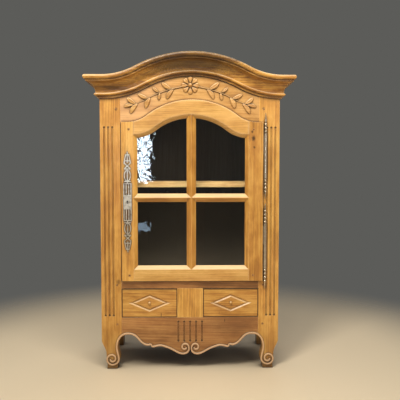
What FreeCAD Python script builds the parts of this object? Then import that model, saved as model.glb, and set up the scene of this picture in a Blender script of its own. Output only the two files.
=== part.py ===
import FreeCAD, Part
import math
import os
import re
from FreeCAD import Vector

# A small glazed bonnetiere: a pegged frame-and-panel case with a hat-shaped cornice, one arched glass
# door over two drawers, and a scalloped apron that runs down into scroll feet.
#
# Frame: +Z up, the front faces -Y, +X to the right of someone who looks at the front. The origin lies
# on the floor in the middle of the whole piece, cornice included. Lengths are millimetres.

DIMENSIONS = [
    # case
    ("body_width", 640.0), ("body_depth", 300.0), ("case_height", 1032.0), ("top_board_thickness", 18.0),
    ("post_width", 73.0), ("post_depth", 40.0), ("rear_post_width", 45.0), ("frame_thickness", 28.0),
    ("side_rail_thickness", 22.0), ("side_top_rail_height", 90.0), ("side_bottom_rail_height", 80.0),
    ("side_bottom_rail_z", 140.0), ("panel_edge", 6.0), ("panel_rise", 7.0), ("panel_bevel", 34.0),
    ("groove_depth", 8.0), ("back_rail_thickness", 22.0), ("back_top_rail_height", 70.0),
    ("back_bottom_rail_height", 66.0), ("back_bottom_rail_z", 122.0), ("back_board_thickness", 10.0),
    ("back_board_gap", 0.8), ("floor_thickness", 16.0), ("shelf_thickness", 21.0),
    ("shelf_above_muntin", 36.5), ("shelf_setback", 60.0), ("cleat_width", 18.0), ("cleat_height", 20.0),
    # front frame
    ("middle_rail_z", 294.0), ("middle_rail_height", 25.0), ("drawer_opening_height", 106.0),
    ("divider_width", 93.0), ("frieze_height", 147.0), ("apron_end_height", 58.0),
    # joints between boards
    ("tenon_length", 40.0), ("tenon_thickness", 9.0), ("tenon_setback", 10.0), ("tenon_shoulder", 6.0),
    ("stub_length", 14.0), ("fit_clearance", 0.15), ("end_clearance", 1.0),
    ("peg_diameter", 7.0), ("peg_depth", 30.0), ("peg_proud", 0.6), ("peg_clearance", 0.05),
    ("peg_from_shoulder", 16.0), ("frieze_peg_drop", 95.0), ("apron_peg_drop", 25.0),
    # hat line of the cornice
    ("arch_centre", 8.0), ("hat_half_span", 315.0), ("hat_rise", 80.0), ("hat_crown_radius", 420.0),
    # cornice section, from its top edge down
    ("cornice_projection", 50.0), ("nose_height", 15.0), ("nose_bulge", 4.0), ("fillet_height", 6.0),
    ("fillet_step", 4.0), ("cove_height", 38.0), ("cove_foot", 13.0), ("bead_height", 9.0),
    ("bead_bulge", 4.0), ("quirk_height", 8.0), ("quirk_projection", 6.0),
    # apron and feet
    ("moulding_width", 7.0), ("moulding_proud", 4.0), ("moulding_round", 2.5),
    ("toe_x", 283.0), ("toe_z", 36.0), ("toe_radius", 24.0), ("toe_step", 2.9),
    ("volute_x", 19.5), ("volute_z", 78.5), ("volute_radius", 14.5), ("volute_step", 2.2),
    ("moulding_facet", 8.0), ("scroll_facet", 5.0),
    ("flute_width", 6.6), ("flute_depth", 2.8), ("flute_end", 7.6), ("post_flute_edge", 15.0),
    ("post_flute_pitch", 14.5), ("post_flute_rise", 8.0), ("post_flute_drop", 160.0),
    ("apron_flute_pitch", 21.4), ("apron_flute_length", 70.0), ("apron_flute_drop", 16.0),
    # door
    ("door_gap", 3.0), ("hinge_overlap", 14.0), ("top_overlap", 6.0), ("door_rise", 79.0),
    ("door_arch_half_span", 230.0), ("door_crown_radius", 263.0), ("door_proud", 9.0),
    ("door_tongue", 18.0), ("seat_clearance", 0.2), ("lock_stile_flat", 43.0),
    ("hinge_stile_flat", 51.0), ("bottom_rail_flat", 42.0), ("top_rail_flat", 44.0),
    ("light_rise", 71.0), ("light_crown_radius", 215.0), ("bevel_width", 13.0), ("bevel_depth", 12.0),
    ("muntin_width", 33.0), ("cross_muntin_width", 30.0), ("muntin_ridge", 2.0),
    ("cross_muntin_raise", 16.0), ("door_tenon_length", 32.0), ("glass_lip", 1.5),
    ("glass_thickness", 3.0), ("rebate_width", 8.0), ("glass_clearance", 1.0),
    ("glazing_bead_width", 6.0), ("glazing_bead_depth", 7.0),
    # hinges
    ("hinge_from_edge", 8.5), ("hinge_axis_proud", 6.2), ("hinge_above_door", 32.6),
    ("hinge_below_door", 27.6), ("barrel_diameter", 11.3), ("finial_gap", 14.8),
    ("hinge_joint_gap", 0.2), ("pin_diameter", 5.0), ("pin_clearance", 0.05), ("pin_from_end", 21.5),
    ("leaf_thickness", 2.0), ("leaf_depth", 24.0), ("leaf_from_end", 9.5), ("leaf_from_joint", 6.0),
    ("leaf_clearance", 0.05), ("finial_bead", 11.0), ("finial_taper", 0.6), ("finial_pitch", 13.0),
    ("finial_neck", 5.0), ("finial_tip", 22.0),
    # lock
    ("plate_from_edge", 21.5), ("plate_width", 29.0), ("plate_thickness", 2.0),
    ("plate_plain", 52.0), ("plate_ornament", 153.0), ("plate_bar", 3.4), ("plate_nail", 4.0),
    ("keyhole_width", 5.6), ("keyhole_slot", 2.6), ("keyhole_height", 11.0), ("lock_case_width", 42.0),
    ("lock_case_height", 84.0), ("lock_case_depth", 14.0), ("lock_edge_gap", 1.0),
    ("bolt_width", 12.0), ("bolt_thickness", 6.0), ("bolt_length", 34.0), ("bolt_throw", 12.0),
    ("bolt_clearance", 0.3), ("keeper_height", 46.0), ("keeper_width", 14.0), ("keeper_thickness", 1.5),
    # drawers
    ("drawer_gap", 1.5), ("drawer_front_thickness", 18.0), ("drawer_side_thickness", 10.0),
    ("drawer_side_height", 84.0), ("drawer_side_gap", 1.0), ("drawer_length", 232.0),
    ("drawer_bottom_thickness", 6.0), ("drawer_bottom_rise", 8.0), ("drawer_lap", 10.0),
    ("slide_clearance", 0.3), ("runner_height", 18.0), ("runner_width", 15.0), ("guide_height", 40.0),
    ("diamond_half_width", 76.0), ("diamond_half_height", 32.0), ("diamond_groove", 10.0),
    ("diamond_depth", 4.0), ("knob_diameter", 10.0), ("knob_length", 8.0), ("knob_shank", 5.0),
]
BACK_BOARDS = 5
POST_FLUTES = 3
APRON_FLUTES = 5
FINIAL_BEADS = 4
LEFT, RIGHT = -1, 1

doc = FreeCAD.newDocument("bonnetiere")
sheet = doc.addObject("Spreadsheet::Sheet", "Dimensions")
for row, (alias, millimetres) in enumerate(DIMENSIONS, start=1):
    sheet.set(f"A{row}", alias)
    sheet.set(f"B{row}", str(millimetres))
    sheet.setAlias(f"B{row}", alias)
doc.recompute()
ALIAS = re.compile(r"\b(" + "|".join(alias for alias, _ in DIMENSIONS) + r")\b")

# Places that several pieces share, as formulas over the sheet.
HALF = "(body_width / 2)"
FRONT = "((cornice_projection - body_depth) / 2)"
BACK = f"({FRONT} + body_depth)"
OPENING = f"({HALF} - post_width)"
TOP = "(case_height + top_board_thickness)"
MIDDLE_TOP = "(middle_rail_z + middle_rail_height)"
APRON_TOP = "(middle_rail_z - drawer_opening_height)"
SIDE_INNER = f"({HALF} - side_rail_thickness)"
BOARDS_FRONT = f"({BACK} - (back_rail_thickness + back_board_thickness) / 2)"
OPENING_SHOULDER = "(case_height - frieze_height)"
DOOR_LEFT = f"(-{OPENING} + door_gap)"
DOOR_RIGHT = f"({OPENING} + hinge_overlap)"
DOOR_LOW = f"({MIDDLE_TOP} + door_gap)"
DOOR_SHOULDER = f"({OPENING_SHOULDER} + top_overlap)"
DOOR_FRONT = f"({FRONT} - door_proud)"
DOOR_BACK = f"({FRONT} + door_tongue)"
LIGHT_LEFT = f"({DOOR_LEFT} + lock_stile_flat)"
LIGHT_RIGHT = f"({DOOR_RIGHT} - hinge_stile_flat)"
LIGHT_LOW = f"({DOOR_LOW} + bottom_rail_flat)"
LIGHT_SHOULDER = f"({DOOR_SHOULDER} - top_rail_flat)"
LIGHT_CENTRE = f"(({LIGHT_LEFT} + {LIGHT_RIGHT}) / 2)"
GLASS_FRONT = f"({DOOR_FRONT} + bevel_depth + glass_lip)"
CROSS_MUNTIN = f"(({LIGHT_LOW} + {LIGHT_SHOULDER}) / 2 + cross_muntin_raise)"
SHELF = f"({CROSS_MUNTIN} + shelf_above_muntin)"
HINGE_X = f"({DOOR_RIGHT} + hinge_from_edge)"
HINGE_Y = f"({FRONT} - hinge_axis_proud)"
HINGES_TOP, HINGES_LOW = f"({DOOR_SHOULDER} + hinge_above_door)", f"({DOOR_LOW} - hinge_below_door)"
HALF_HINGE = f"(({HINGES_TOP} - {HINGES_LOW} - finial_gap) / 4)"
HINGES = {"upper": f"({HINGES_TOP} - {HALF_HINGE})", "lower": f"({HINGES_LOW} + {HALF_HINGE})"}
FINIAL = f"({FINIAL_BEADS - 1} * finial_pitch + finial_bead)"
HALF_BARREL = f"({HALF_HINGE} - hinge_joint_gap / 2 - {FINIAL} - finial_tip)"
PIN_REACH = f"({HALF_BARREL} - pin_from_end)"
PLATE_X = f"({DOOR_LEFT} + plate_from_edge)"
PLATE_Z = f"(({DOOR_LOW} + {DOOR_SHOULDER}) / 2)"
BOLT_Y = f"({DOOR_BACK} + lock_case_depth / 2)"


def bound(formula):
    """A formula with every alias pointing at its cell."""
    return ALIAS.sub(r"Dimensions.\1", str(formula))


def value(formula):
    """What a formula comes to now, as a number."""
    return float(sheet.evalExpression(bound(formula)))


def span(side, near, far):
    """Bounds along X of what lies between two distances from the middle, on one side."""
    return (near, far) if side == RIGHT else (f"-({far})", f"-({near})")


def grown(bounds, amount):
    return (f"({bounds[0]}) - ({amount})", f"({bounds[1]}) + ({amount})")


def block(x, y, z):
    """A squared board between three pairs of bounds."""
    solid = doc.addObject("Part::Box", "block")
    for size, axis, (low, high) in zip(("Length", "Width", "Height"), "xyz", (x, y, z)):
        solid.setExpression(size, bound(f"({high}) - ({low})"))
        solid.setExpression(f"Placement.Base.{axis}", bound(low))
    return solid


TURNS = {
    "x": FreeCAD.Rotation(Vector(0, 1, 0), 90),
    "y": FreeCAD.Rotation(Vector(1, 0, 0), -90),
    "z": FreeCAD.Rotation(),
}


def place(solid, axis, start):
    solid.Placement = FreeCAD.Placement(Vector(), TURNS[axis])
    for name, formula in zip("xyz", start):
        solid.setExpression(f"Placement.Base.{name}", bound(formula))
    return solid


def rod(axis, start, diameter, length):
    """A round bar that runs from start along one axis."""
    solid = doc.addObject("Part::Cylinder", "rod")
    solid.setExpression("Radius", bound(f"({diameter}) / 2"))
    solid.setExpression("Height", bound(length))
    return place(solid, axis, start)


def taper(axis, start, diameters, length):
    solid = doc.addObject("Part::Cone", "taper")
    solid.setExpression("Radius1", bound(f"({diameters[0]}) / 2"))
    solid.setExpression("Radius2", bound(f"({diameters[1]}) / 2"))
    solid.setExpression("Height", bound(length))
    return place(solid, axis, start)


def ball(centre, diameter):
    solid = doc.addObject("Part::Sphere", "ball")
    solid.setExpression("Radius", bound(f"({diameter}) / 2"))
    return place(solid, "z", centre)


def shaped(shape):
    """A form that primitives can't give, made with Part's own functions from the sheet's values."""
    form = doc.addObject("Part::Feature", "form")
    form.Shape = shape
    return form


def joined(*solids):
    if len(solids) == 1:
        return solids[0]
    whole = doc.addObject("Part::MultiFuse", "joined")
    whole.Shapes = list(solids)
    whole.Refine = True
    return whole


def carved(base, *tools):
    if not tools:
        return base
    rest = doc.addObject("Part::Cut", "carved")
    rest.Base = base
    rest.Tool = joined(*tools)
    return rest


def within(base, region):
    common = doc.addObject("Part::Common", "within")
    common.Base = base
    common.Tool = region
    return common


def grouped(*solids):
    """Several separate solids in one node."""
    group = doc.addObject("Part::Compound", "group")
    group.Links = list(solids)
    return group


PIECES = {}


def piece(name, solid):
    solid.Label = name
    PIECES[name] = solid
    return solid


class HatLine:
    """Flat shoulders, two hollow arcs and a round crown, all tangent. drop moves it square to itself."""

    def __init__(self, centre, half_span, rise, crown_radius, shoulder_z, drop=0.0):
        hollow_radius = (half_span ** 2 + rise ** 2) / (2 * rise) - crown_radius
        turn = math.asin(half_span / (crown_radius + hollow_radius))
        self.centre, self.half_span = centre, half_span
        self.crown, self.hollow = crown_radius - drop, hollow_radius + drop
        self.crown_z = shoulder_z + rise - crown_radius
        self.hollow_z = shoulder_z + hollow_radius
        self.turn_x = self.crown * math.sin(turn)

    def z(self, x):
        off = abs(x - self.centre)
        if off <= self.turn_x:
            return self.crown_z + math.sqrt(self.crown ** 2 - off ** 2)
        along = max(self.half_span - off, 0.0)
        return self.hollow_z - math.sqrt(self.hollow ** 2 - along ** 2)

    def edges(self, left, right, y):
        breaks = [self.centre + side * reach for side, reach in (
            (LEFT, self.half_span), (LEFT, self.turn_x), (RIGHT, self.turn_x), (RIGHT, self.half_span))]
        stops = [left] + [x for x in breaks if left < x < right] + [right]
        edges = []
        for start, end in zip(stops, stops[1:]):
            first, middle, last = (Vector(x, y, self.z(x)) for x in (start, (start + end) / 2, end))
            flat = abs((start + end) / 2 - self.centre) > self.half_span
            curve = Part.LineSegment(first, last) if flat else Part.Arc(first, middle, last)
            edges.append(curve.toShape())
        return edges

    def wire(self, left, right, low, y):
        """The closed outline of what lies under the line, down to a level."""
        edges = self.edges(left, right, y)
        corners = [Vector(right, y, self.z(right)), Vector(right, y, low), Vector(left, y, low),
                   Vector(left, y, self.z(left))]
        edges += [Part.LineSegment(a, b).toShape() for a, b in zip(corners, corners[1:])]
        return Part.Wire(edges)

    def below(self, left, right, low, front, back):
        face = Part.Face(self.wire(left, right, low, front))
        return face.extrude(Vector(0, back - front, 0))


def cornice_line(drop=0.0):
    return HatLine(value("arch_centre"), value("hat_half_span"), value("hat_rise"),
                   value("hat_crown_radius"), value(TOP), drop)


def door_line(drop=0.0):
    return HatLine(value("arch_centre"), value("door_arch_half_span"), value("door_rise"),
                   value("door_crown_radius"), value(DOOR_SHOULDER), drop)


def light_line(drop=0.0):
    """The line round the top of the glazed opening, where its bevel starts."""
    half_span = (value(LIGHT_RIGHT) - value(LIGHT_LEFT)) / 2
    return HatLine(value(LIGHT_CENTRE), half_span, value("light_rise"), value("light_crown_radius"),
                   value(LIGHT_SHOULDER), drop)


def prism(corners, front, back):
    """A shape with straight sides, drawn in the XZ plane and pulled back along Y."""
    wire = Part.makePolygon([Vector(x, front, z) for x, z in corners + corners[:1]])
    return Part.Face(wire).extrude(Vector(0, back - front, 0))


# Joints between boards. A tenon starts inside its rail, and its mortise is a little wider and deeper.

def tenon(side, low, high):
    x = span(side, f"{OPENING} - tenon_setback", f"{OPENING} + tenon_length")
    return block(x, TENON_Y, (f"{low} + tenon_shoulder", f"{high} - tenon_shoulder"))


def mortise(side, low, high):
    x = span(side, f"{OPENING} - end_clearance", f"{OPENING} + tenon_length + end_clearance")
    return block(x, grown(TENON_Y, "fit_clearance"),
                 grown((f"{low} + tenon_shoulder", f"{high} - tenon_shoulder"), "fit_clearance"))


TENON_Y = (f"{FRONT} + tenon_setback", f"{FRONT} + tenon_setback + tenon_thickness")
FRIEZE_Z = (OPENING_SHOULDER, "case_height")
MIDDLE_Z = ("middle_rail_z", MIDDLE_TOP)
APRON_Z = (f"({APRON_TOP} - apron_end_height)", APRON_TOP)
PEG_HEIGHTS = ("(case_height - frieze_peg_drop)", "(middle_rail_z + middle_rail_height / 2)",
               f"({APRON_TOP} - apron_peg_drop)")
SIDE_LOW_Z = ("side_bottom_rail_z", "(side_bottom_rail_z + side_bottom_rail_height)")
SIDE_TOP_Z = ("(case_height - side_top_rail_height)", "case_height")
BACK_LOW_Z = ("back_bottom_rail_z", "(back_bottom_rail_z + back_bottom_rail_height)")
BACK_TOP_Z = ("(case_height - back_top_rail_height)", "case_height")
SIDE_Y = (f"({FRONT} + post_depth)", f"({BACK} - post_depth)")
BACK_X = "(body_width / 2 - rear_post_width)"
BACK_Y = (f"({BACK} - back_rail_thickness)", BACK)


def frame_peg(side, z):
    x = span(side, f"{OPENING} + peg_from_shoulder", "0")[0 if side == RIGHT else 1]
    return rod("y", (x, f"{FRONT} - peg_proud", z), "peg_diameter", "peg_depth + peg_proud")


def frame_peg_hole(side, z):
    x = span(side, f"{OPENING} + peg_from_shoulder", "0")[0 if side == RIGHT else 1]
    return rod("y", (x, f"{FRONT} - peg_proud", z), "peg_diameter + 2 * peg_clearance",
               "peg_depth + peg_proud + end_clearance")


def side_stub(side, end, z, room=False):
    """The tongue of a side rail in a post, at its front (0) or back (1), or the room for it."""
    x = span(side, f"{SIDE_INNER} + tenon_shoulder", f"{HALF} - tenon_shoulder")
    reach = "stub_length + end_clearance" if room else "stub_length"
    y = ((f"{SIDE_Y[0]} - ({reach})", f"{SIDE_Y[0]} + end_clearance"),
         (f"{SIDE_Y[1]} - end_clearance", f"{SIDE_Y[1]} + {reach}"))[end]
    z = (f"{z[0]} + tenon_setback", f"{z[1]} - tenon_setback")
    if room:
        x, z = grown(x, "fit_clearance"), grown(z, "fit_clearance")
    return block(x, y, z)


def back_stub(side, z, room=False):
    reach = "stub_length + end_clearance" if room else "stub_length"
    x = span(side, f"{BACK_X} - end_clearance", f"{BACK_X} + {reach}")
    y = (f"{BACK_Y[0]} + tenon_shoulder", f"{BACK_Y[1]} - tenon_shoulder")
    z = (f"{z[0]} + tenon_setback", f"{z[1]} - tenon_setback")
    if room:
        y, z = grown(y, "fit_clearance"), grown(z, "fit_clearance")
    return block(x, y, z)


def panel_x(side):
    middle = f"({HALF} - side_rail_thickness / 2)"
    return span(side, f"{middle} - panel_edge / 2", f"{middle} + panel_edge / 2")


def panel_room(side):
    """The grooves round a side panel, as one slab that is cut from all four boards."""
    slack = "groove_depth + end_clearance"
    return block(grown(panel_x(side), "fit_clearance"), grown(SIDE_Y, slack),
                 grown((SIDE_LOW_Z[1], SIDE_TOP_Z[0]), slack))


def back_room():
    slack = "groove_depth + end_clearance"
    return block(grown((f"-{BACK_X}", BACK_X), slack),
                 grown((BOARDS_FRONT, f"{BOARDS_FRONT} + back_board_thickness"), "fit_clearance"),
                 grown((BACK_LOW_Z[1], BACK_TOP_Z[0]), slack))


# The moulding along the apron and down the feet, drawn for the right half as its centre line.

def scroll(centre, radius, step, start, turn, quarters):
    """Points of a spiral that tightens by one step each quarter turn."""
    points = []
    for eighth in range(2 * quarters + 1):
        angle = math.radians(start + turn * 45 * eighth)
        reach = radius - step * eighth / 2
        points.append((centre[0] + reach * math.cos(angle), centre[1] + reach * math.sin(angle)))
    return points


TOE = scroll((value("toe_x"), value("toe_z")), value("toe_radius"), value("toe_step"), 180, 1, 6)
VOLUTE = scroll((value("volute_x"), value("volute_z")), value("volute_radius"), value("volute_step"),
                180, -1, 4)
FOOT_ARCH = [(262, 54), (266, 72), (266, 88), (259, 110), (246, 124), (222, 129.5), (199, 122),
             (178, 100), (158, 88), (143, 90)]
SWAG = [(137, 81), (126, 83), (108, 86), (92, 82), (69, 73), (51, 63), (36, 56), (22, 54.5), (9, 61)]
FOOT_OUTSIDE = [(320, 118), (317.5, 94), (308, 75), (303.5, 58), (303, 36), (300, 16), (301, 0)]
FOOT_INSIDE = [(264, 12), (264, 0)]
LOBES_MEET = (0, 70)


def stations(points, spacing):
    """A smooth line through the points as short straight runs of about one length."""
    line = Part.BSplineCurve()
    line.interpolate([Vector(x, 0, z) for x, z in points])
    edge = line.toShape()
    return [(point.x, point.z) for point in edge.discretize(Number=round(edge.Length / spacing) + 1)]


TOE_RUN = stations(TOE[::-1], value("scroll_facet"))
FOOT_RUN = stations([TOE[0]] + FOOT_ARCH, value("moulding_facet"))
SWAG_RUN = stations(SWAG, value("moulding_facet"))
VOLUTE_RUN = stations([SWAG[-1]] + VOLUTE, value("scroll_facet"))


# Where the rounded front of the moulding turns, as shares of its half width and of its rounding.
SHOULDER_SHARES = (0.62, 0.22)


def solid_from(faces):
    shell = Part.Shell(faces)
    shell.sewShape()
    return Part.Solid(shell)


def moulding(run, side, back):
    """A rounded band along straight runs that meet in mitres, from its proud front to a board's back."""
    front, back = value(FRONT) - value("moulding_proud"), value(back)
    half, low = value("moulding_width") / 2, front + value("moulding_round")
    shoulder = (half * SHOULDER_SHARES[0], front + value("moulding_round") * SHOULDER_SHARES[1])
    outline = [(-half, back), (-half, low), (-shoulder[0], shoulder[1]), (0, front), shoulder, (half, low),
               (half, back)]
    path = [Vector(side * x, 0, z) for x, z in run]
    ways = [(b - a).normalize() for a, b in zip(path, path[1:])]
    sections = []
    for index, here in enumerate(path):
        before, after = ways[max(index - 1, 0)], ways[min(index, len(ways) - 1)]
        middle = (before + after).normalize()
        across = Vector(-middle.z, 0, middle.x) / middle.dot(after)
        sections.append([here + across * off + Vector(0, y, 0) for off, y in outline])
    faces = [Part.Face(Part.makePolygon(ring + ring[:1])) for ring in (sections[0], sections[-1])]
    for here, there in zip(sections, sections[1:]):
        for edge in range(len(outline)):
            far = (edge + 1) % len(outline)
            corners = [here[edge], here[far], there[far], there[edge], here[edge]]
            faces.append(Part.Face(Part.makePolygon(corners)))
    return solid_from(faces)


def foot_moulding(side, back):
    return moulding(TOE_RUN[:-1] + FOOT_RUN, side, back)


def swag_moulding(side, back):
    return moulding(SWAG_RUN[:-1] + VOLUTE_RUN, side, back)


def under_apron(front, back):
    """All that is open below the apron and between the feet, up to the moulding's centre line."""
    half = FOOT_INSIDE[::-1] + FOOT_RUN + SWAG_RUN
    corners = half + [LOBES_MEET] + [(-x, z) for x, z in half[::-1]]
    return prism(corners, front, back)


def beside_foot(side, front, back):
    edge = stations(FOOT_OUTSIDE, value("moulding_facet"))
    far = FOOT_OUTSIDE[0][0] + value("post_width")
    corners = edge + [(far, 0), (far, FOOT_OUTSIDE[0][1])]
    return prism([(side * x, z) for x, z in corners], front, back)


def flute(x, low, high):
    """An upright groove with a round bottom and drilled ends."""
    sunk = f"{FRONT} - flute_width / 2 + flute_depth"
    groove = rod("z", (x, sunk, low), "flute_width", f"({high}) - ({low})")
    ends = [rod("y", (x, f"{FRONT} - flute_depth", z), "flute_end", "2 * flute_depth + end_clearance / 2")
            for z in (low, high)]
    return [groove] + ends


# The case.

FAR_FRONT = value(FRONT) - value("post_depth")
FAR_BACK = value(FRONT) + 2 * value("post_depth")
UNDER_APRON = shaped(under_apron(FAR_FRONT, FAR_BACK))


def front_post(side):
    blank = block(span(side, OPENING, HALF), (FRONT, SIDE_Y[0]), ("0", "case_height"))
    foot = carved(blank, UNDER_APRON, shaped(beside_foot(side, FAR_FRONT, FAR_BACK)))
    edge = within(shaped(foot_moulding(side, SIDE_Y[0])),
                  block(span(side, OPENING, HALF), (DOOR_FRONT, SIDE_Y[0]), ("0", "case_height")))
    tools = [mortise(side, *z) for z in (FRIEZE_Z, MIDDLE_Z, APRON_Z)]
    tools += [frame_peg_hole(side, z) for z in PEG_HEIGHTS]
    tools += [side_stub(side, 0, z, room=True) for z in (SIDE_LOW_Z, SIDE_TOP_Z)] + [panel_room(side)]
    for number in range(POST_FLUTES):
        x = f"{side} * ({HALF} - post_flute_edge - {number} * post_flute_pitch)"
        tools += flute(x, f"{APRON_TOP} + post_flute_rise", "case_height - post_flute_drop")
    tools += leaf_slots() if side == RIGHT else keeper_room()
    return carved(joined(foot, edge), *tools)


def rear_post(side):
    blank = block(span(side, BACK_X, HALF), (SIDE_Y[1], BACK), ("0", "case_height"))
    tools = [side_stub(side, 1, z, room=True) for z in (SIDE_LOW_Z, SIDE_TOP_Z)]
    tools += [back_stub(side, z, room=True) for z in (BACK_LOW_Z, BACK_TOP_Z)]
    return carved(blank, *tools, panel_room(side), back_room())


def frieze_rail():
    half, low = value(OPENING), value(OPENING_SHOULDER)
    front, back = value(FRONT), value(FRONT) + value("frame_thickness")
    board = cornice_line().below(-half, half, low, front, back)
    arch = door_line(value("top_overlap")).below(-2 * half, 2 * half, low - half, FAR_FRONT, FAR_BACK)
    rail = joined(shaped(board.cut(arch)), *[tenon(side, *FRIEZE_Z) for side in (LEFT, RIGHT)])
    return carved(rail, *[frame_peg_hole(side, PEG_HEIGHTS[0]) for side in (LEFT, RIGHT)])


def middle_rail():
    board = block((f"-{OPENING}", OPENING), (FRONT, f"{FRONT} + frame_thickness"), MIDDLE_Z)
    rail = joined(board, *[tenon(side, *MIDDLE_Z) for side in (LEFT, RIGHT)])
    return carved(rail, *[frame_peg_hole(side, PEG_HEIGHTS[1]) for side in (LEFT, RIGHT)])


def apron():
    blank = block((f"-{OPENING}", OPENING), (FRONT, f"{FRONT} + frame_thickness"), ("0", APRON_TOP))
    board = carved(blank, UNDER_APRON)
    region = block((f"-{OPENING}", OPENING), (DOOR_FRONT, f"{FRONT} + frame_thickness"), ("0", APRON_TOP))
    back = f"{FRONT} + frame_thickness"
    edges = [within(shaped(foot_moulding(side, back)), region) for side in (LEFT, RIGHT)]
    edges += [shaped(swag_moulding(side, back)) for side in (LEFT, RIGHT)]
    rail = joined(board, *edges, *[tenon(side, *APRON_Z) for side in (LEFT, RIGHT)])
    tools = [frame_peg_hole(side, PEG_HEIGHTS[2]) for side in (LEFT, RIGHT)]
    for number in range(APRON_FLUTES):
        x = f"{number - (APRON_FLUTES - 1) // 2} * apron_flute_pitch"
        high = f"{APRON_TOP} - apron_flute_drop"
        tools += flute(x, f"{high} - apron_flute_length", high)
    return carved(rail, *tools)


def drawer_divider():
    return block(("-divider_width / 2", "divider_width / 2"), (FRONT, f"{FRONT} + frame_thickness"),
                 (APRON_TOP, "middle_rail_z"))


def side_rail(side, z):
    board = block(span(side, SIDE_INNER, HALF), SIDE_Y, z)
    rail = joined(board, *[side_stub(side, end, z) for end in (0, 1)])
    return carved(rail, panel_room(side))


def side_panel(side):
    y, z = grown(SIDE_Y, "groove_depth"), grown((SIDE_LOW_Z[1], SIDE_TOP_Z[0]), "groove_depth")
    board = block(panel_x(side), y, z)
    x = value(panel_x(side)[0 if side == LEFT else 1])
    low, high = [value(end) for end in SIDE_Y], [value(end) for end in (SIDE_LOW_Z[1], SIDE_TOP_Z[0])]
    sections = []
    for rise, margin in ((0.0, 0.0), (value("panel_rise"), value("panel_bevel"))):
        far, (front, back), (bottom, top) = x + side * rise, low, high
        corners = [Vector(far, front + margin, bottom + margin), Vector(far, back - margin, bottom + margin),
                   Vector(far, back - margin, top - margin), Vector(far, front + margin, top - margin)]
        sections.append(Part.makePolygon(corners + corners[:1]))
    return joined(board, shaped(Part.makeLoft(sections, True)))


def back_rail(z):
    board = block((f"-{BACK_X}", BACK_X), BACK_Y, z)
    rail = joined(board, *[back_stub(side, z) for side in (LEFT, RIGHT)])
    return carved(rail, back_room())


def back_boards():
    whole = f"(2 * ({BACK_X} + groove_depth))"
    z = grown((BACK_LOW_Z[1], BACK_TOP_Z[0]), "groove_depth")
    y = (BOARDS_FRONT, f"{BOARDS_FRONT} + back_board_thickness")
    boards = []
    for number in range(BACK_BOARDS):
        low, high = (f"-{whole} / 2 + {count} * {whole} / {BACK_BOARDS}" for count in (number, number + 1))
        boards.append(block(grown((low, high), "-back_board_gap / 2"), y, z))
    return grouped(*boards)


def cornice_section():
    """The cornice cut across: (how far it stands out, how far below its top edge)."""
    nose = value("cornice_projection") - value("nose_bulge")
    steps = [value(f"{name}_height") for name in ("nose", "fillet", "cove", "bead", "quirk")]
    ends = [sum(steps[:count]) for count in range(len(steps) + 1)]
    fillet, foot, quirk = nose - value("fillet_step"), value("cove_foot"), value("quirk_projection")
    hollow = math.sqrt(0.5)
    cove = (fillet + (foot - fillet) * hollow, ends[2] + (ends[3] - ends[2]) * (1 - hollow))
    bead = (foot + value("bead_bulge"), (ends[3] + ends[4]) / 2)
    return [("line", (0, 0), (nose, 0)), ("arc", (nose + value("nose_bulge"), ends[1] / 2), (nose, ends[1])),
            ("line", (fillet, ends[1])), ("line", (fillet, ends[2])), ("arc", cove, (foot, ends[3])),
            ("arc", bead, (foot, ends[4])), ("line", (quirk, ends[4])), ("line", (quirk, ends[5])),
            ("line", (0, ends[5])), ("line", (0, 0))]


def section_wire(at):
    edges, here = [], (0, 0)
    for kind, *points in cornice_section():
        if kind == "arc":
            edges.append(Part.Arc(at(here), at(points[0]), at(points[1])).toShape())
        else:
            stops = [here] + [point for point in points if point != here]
            edges += [Part.makeLine(at(a), at(b)) for a, b in zip(stops, stops[1:])]
        here = points[-1]
    return Part.Wire(edges)


def mitre(side, keep_front):
    """The wedge beyond a cornice corner that belongs to the other piece."""
    corner = Vector(side * value(HALF), value(FRONT), 0)
    reach = 2 * value("cornice_projection")
    diagonal = corner + Vector(side * reach, -reach, 0)
    third = corner + (Vector(side * reach, 0, 0) if keep_front else Vector(0, -reach, 0))
    face = Part.Face(Part.makePolygon([corner, diagonal, third, corner]))
    return face.extrude(Vector(0, 0, 2 * value(TOP)))


def cornice_front():
    end = value(HALF) + value("cornice_projection") + value("end_clearance")
    front, top = value(FRONT), value(TOP)
    path = Part.Wire(cornice_line().edges(-end, end, front))
    section = section_wire(lambda point: Vector(-end, front - point[0], top - point[1]))
    strip = path.makePipeShell([section], True, False)
    return shaped(strip.cut([mitre(LEFT, True), mitre(RIGHT, True)]))


def cornice_return(side):
    start, end, top = value(FRONT) - value("cornice_projection"), value(BACK), value(TOP)
    section = section_wire(lambda point: Vector(side * (value(HALF) + point[0]), start, top - point[1]))
    strip = Part.Face(section).extrude(Vector(0, end - start, 0))
    return shaped(strip.cut(mitre(side, False)))


def top_board():
    board = block((f"-{HALF}", HALF), (FRONT, BACK), ("case_height", TOP))
    notch = block((f"-{OPENING}", OPENING), (f"{FRONT} - end_clearance", f"{FRONT} + frame_thickness"),
                  ("case_height - end_clearance", f"{TOP} + end_clearance"))
    return carved(board, notch)


def post_notches(low, high, sides=(LEFT, RIGHT)):
    """Room for the four posts in a board that lies between them."""
    notches = []
    for side in sides:
        notches.append(block(span(side, f"{OPENING} - fit_clearance", HALF),
                             (FRONT, f"{SIDE_Y[0]} + fit_clearance"), (low, high)))
        notches.append(block(span(side, f"{BACK_X} - fit_clearance", HALF),
                             (f"{SIDE_Y[1]} - fit_clearance", BACK), (low, high)))
    return notches


def inner_board(front, low, high):
    board = block(grown((f"-{SIDE_INNER}", SIDE_INNER), "-fit_clearance"), (front, BOARDS_FRONT), (low, high))
    return carved(board, *post_notches(f"{low} - end_clearance", f"{high} + end_clearance"))


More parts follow.
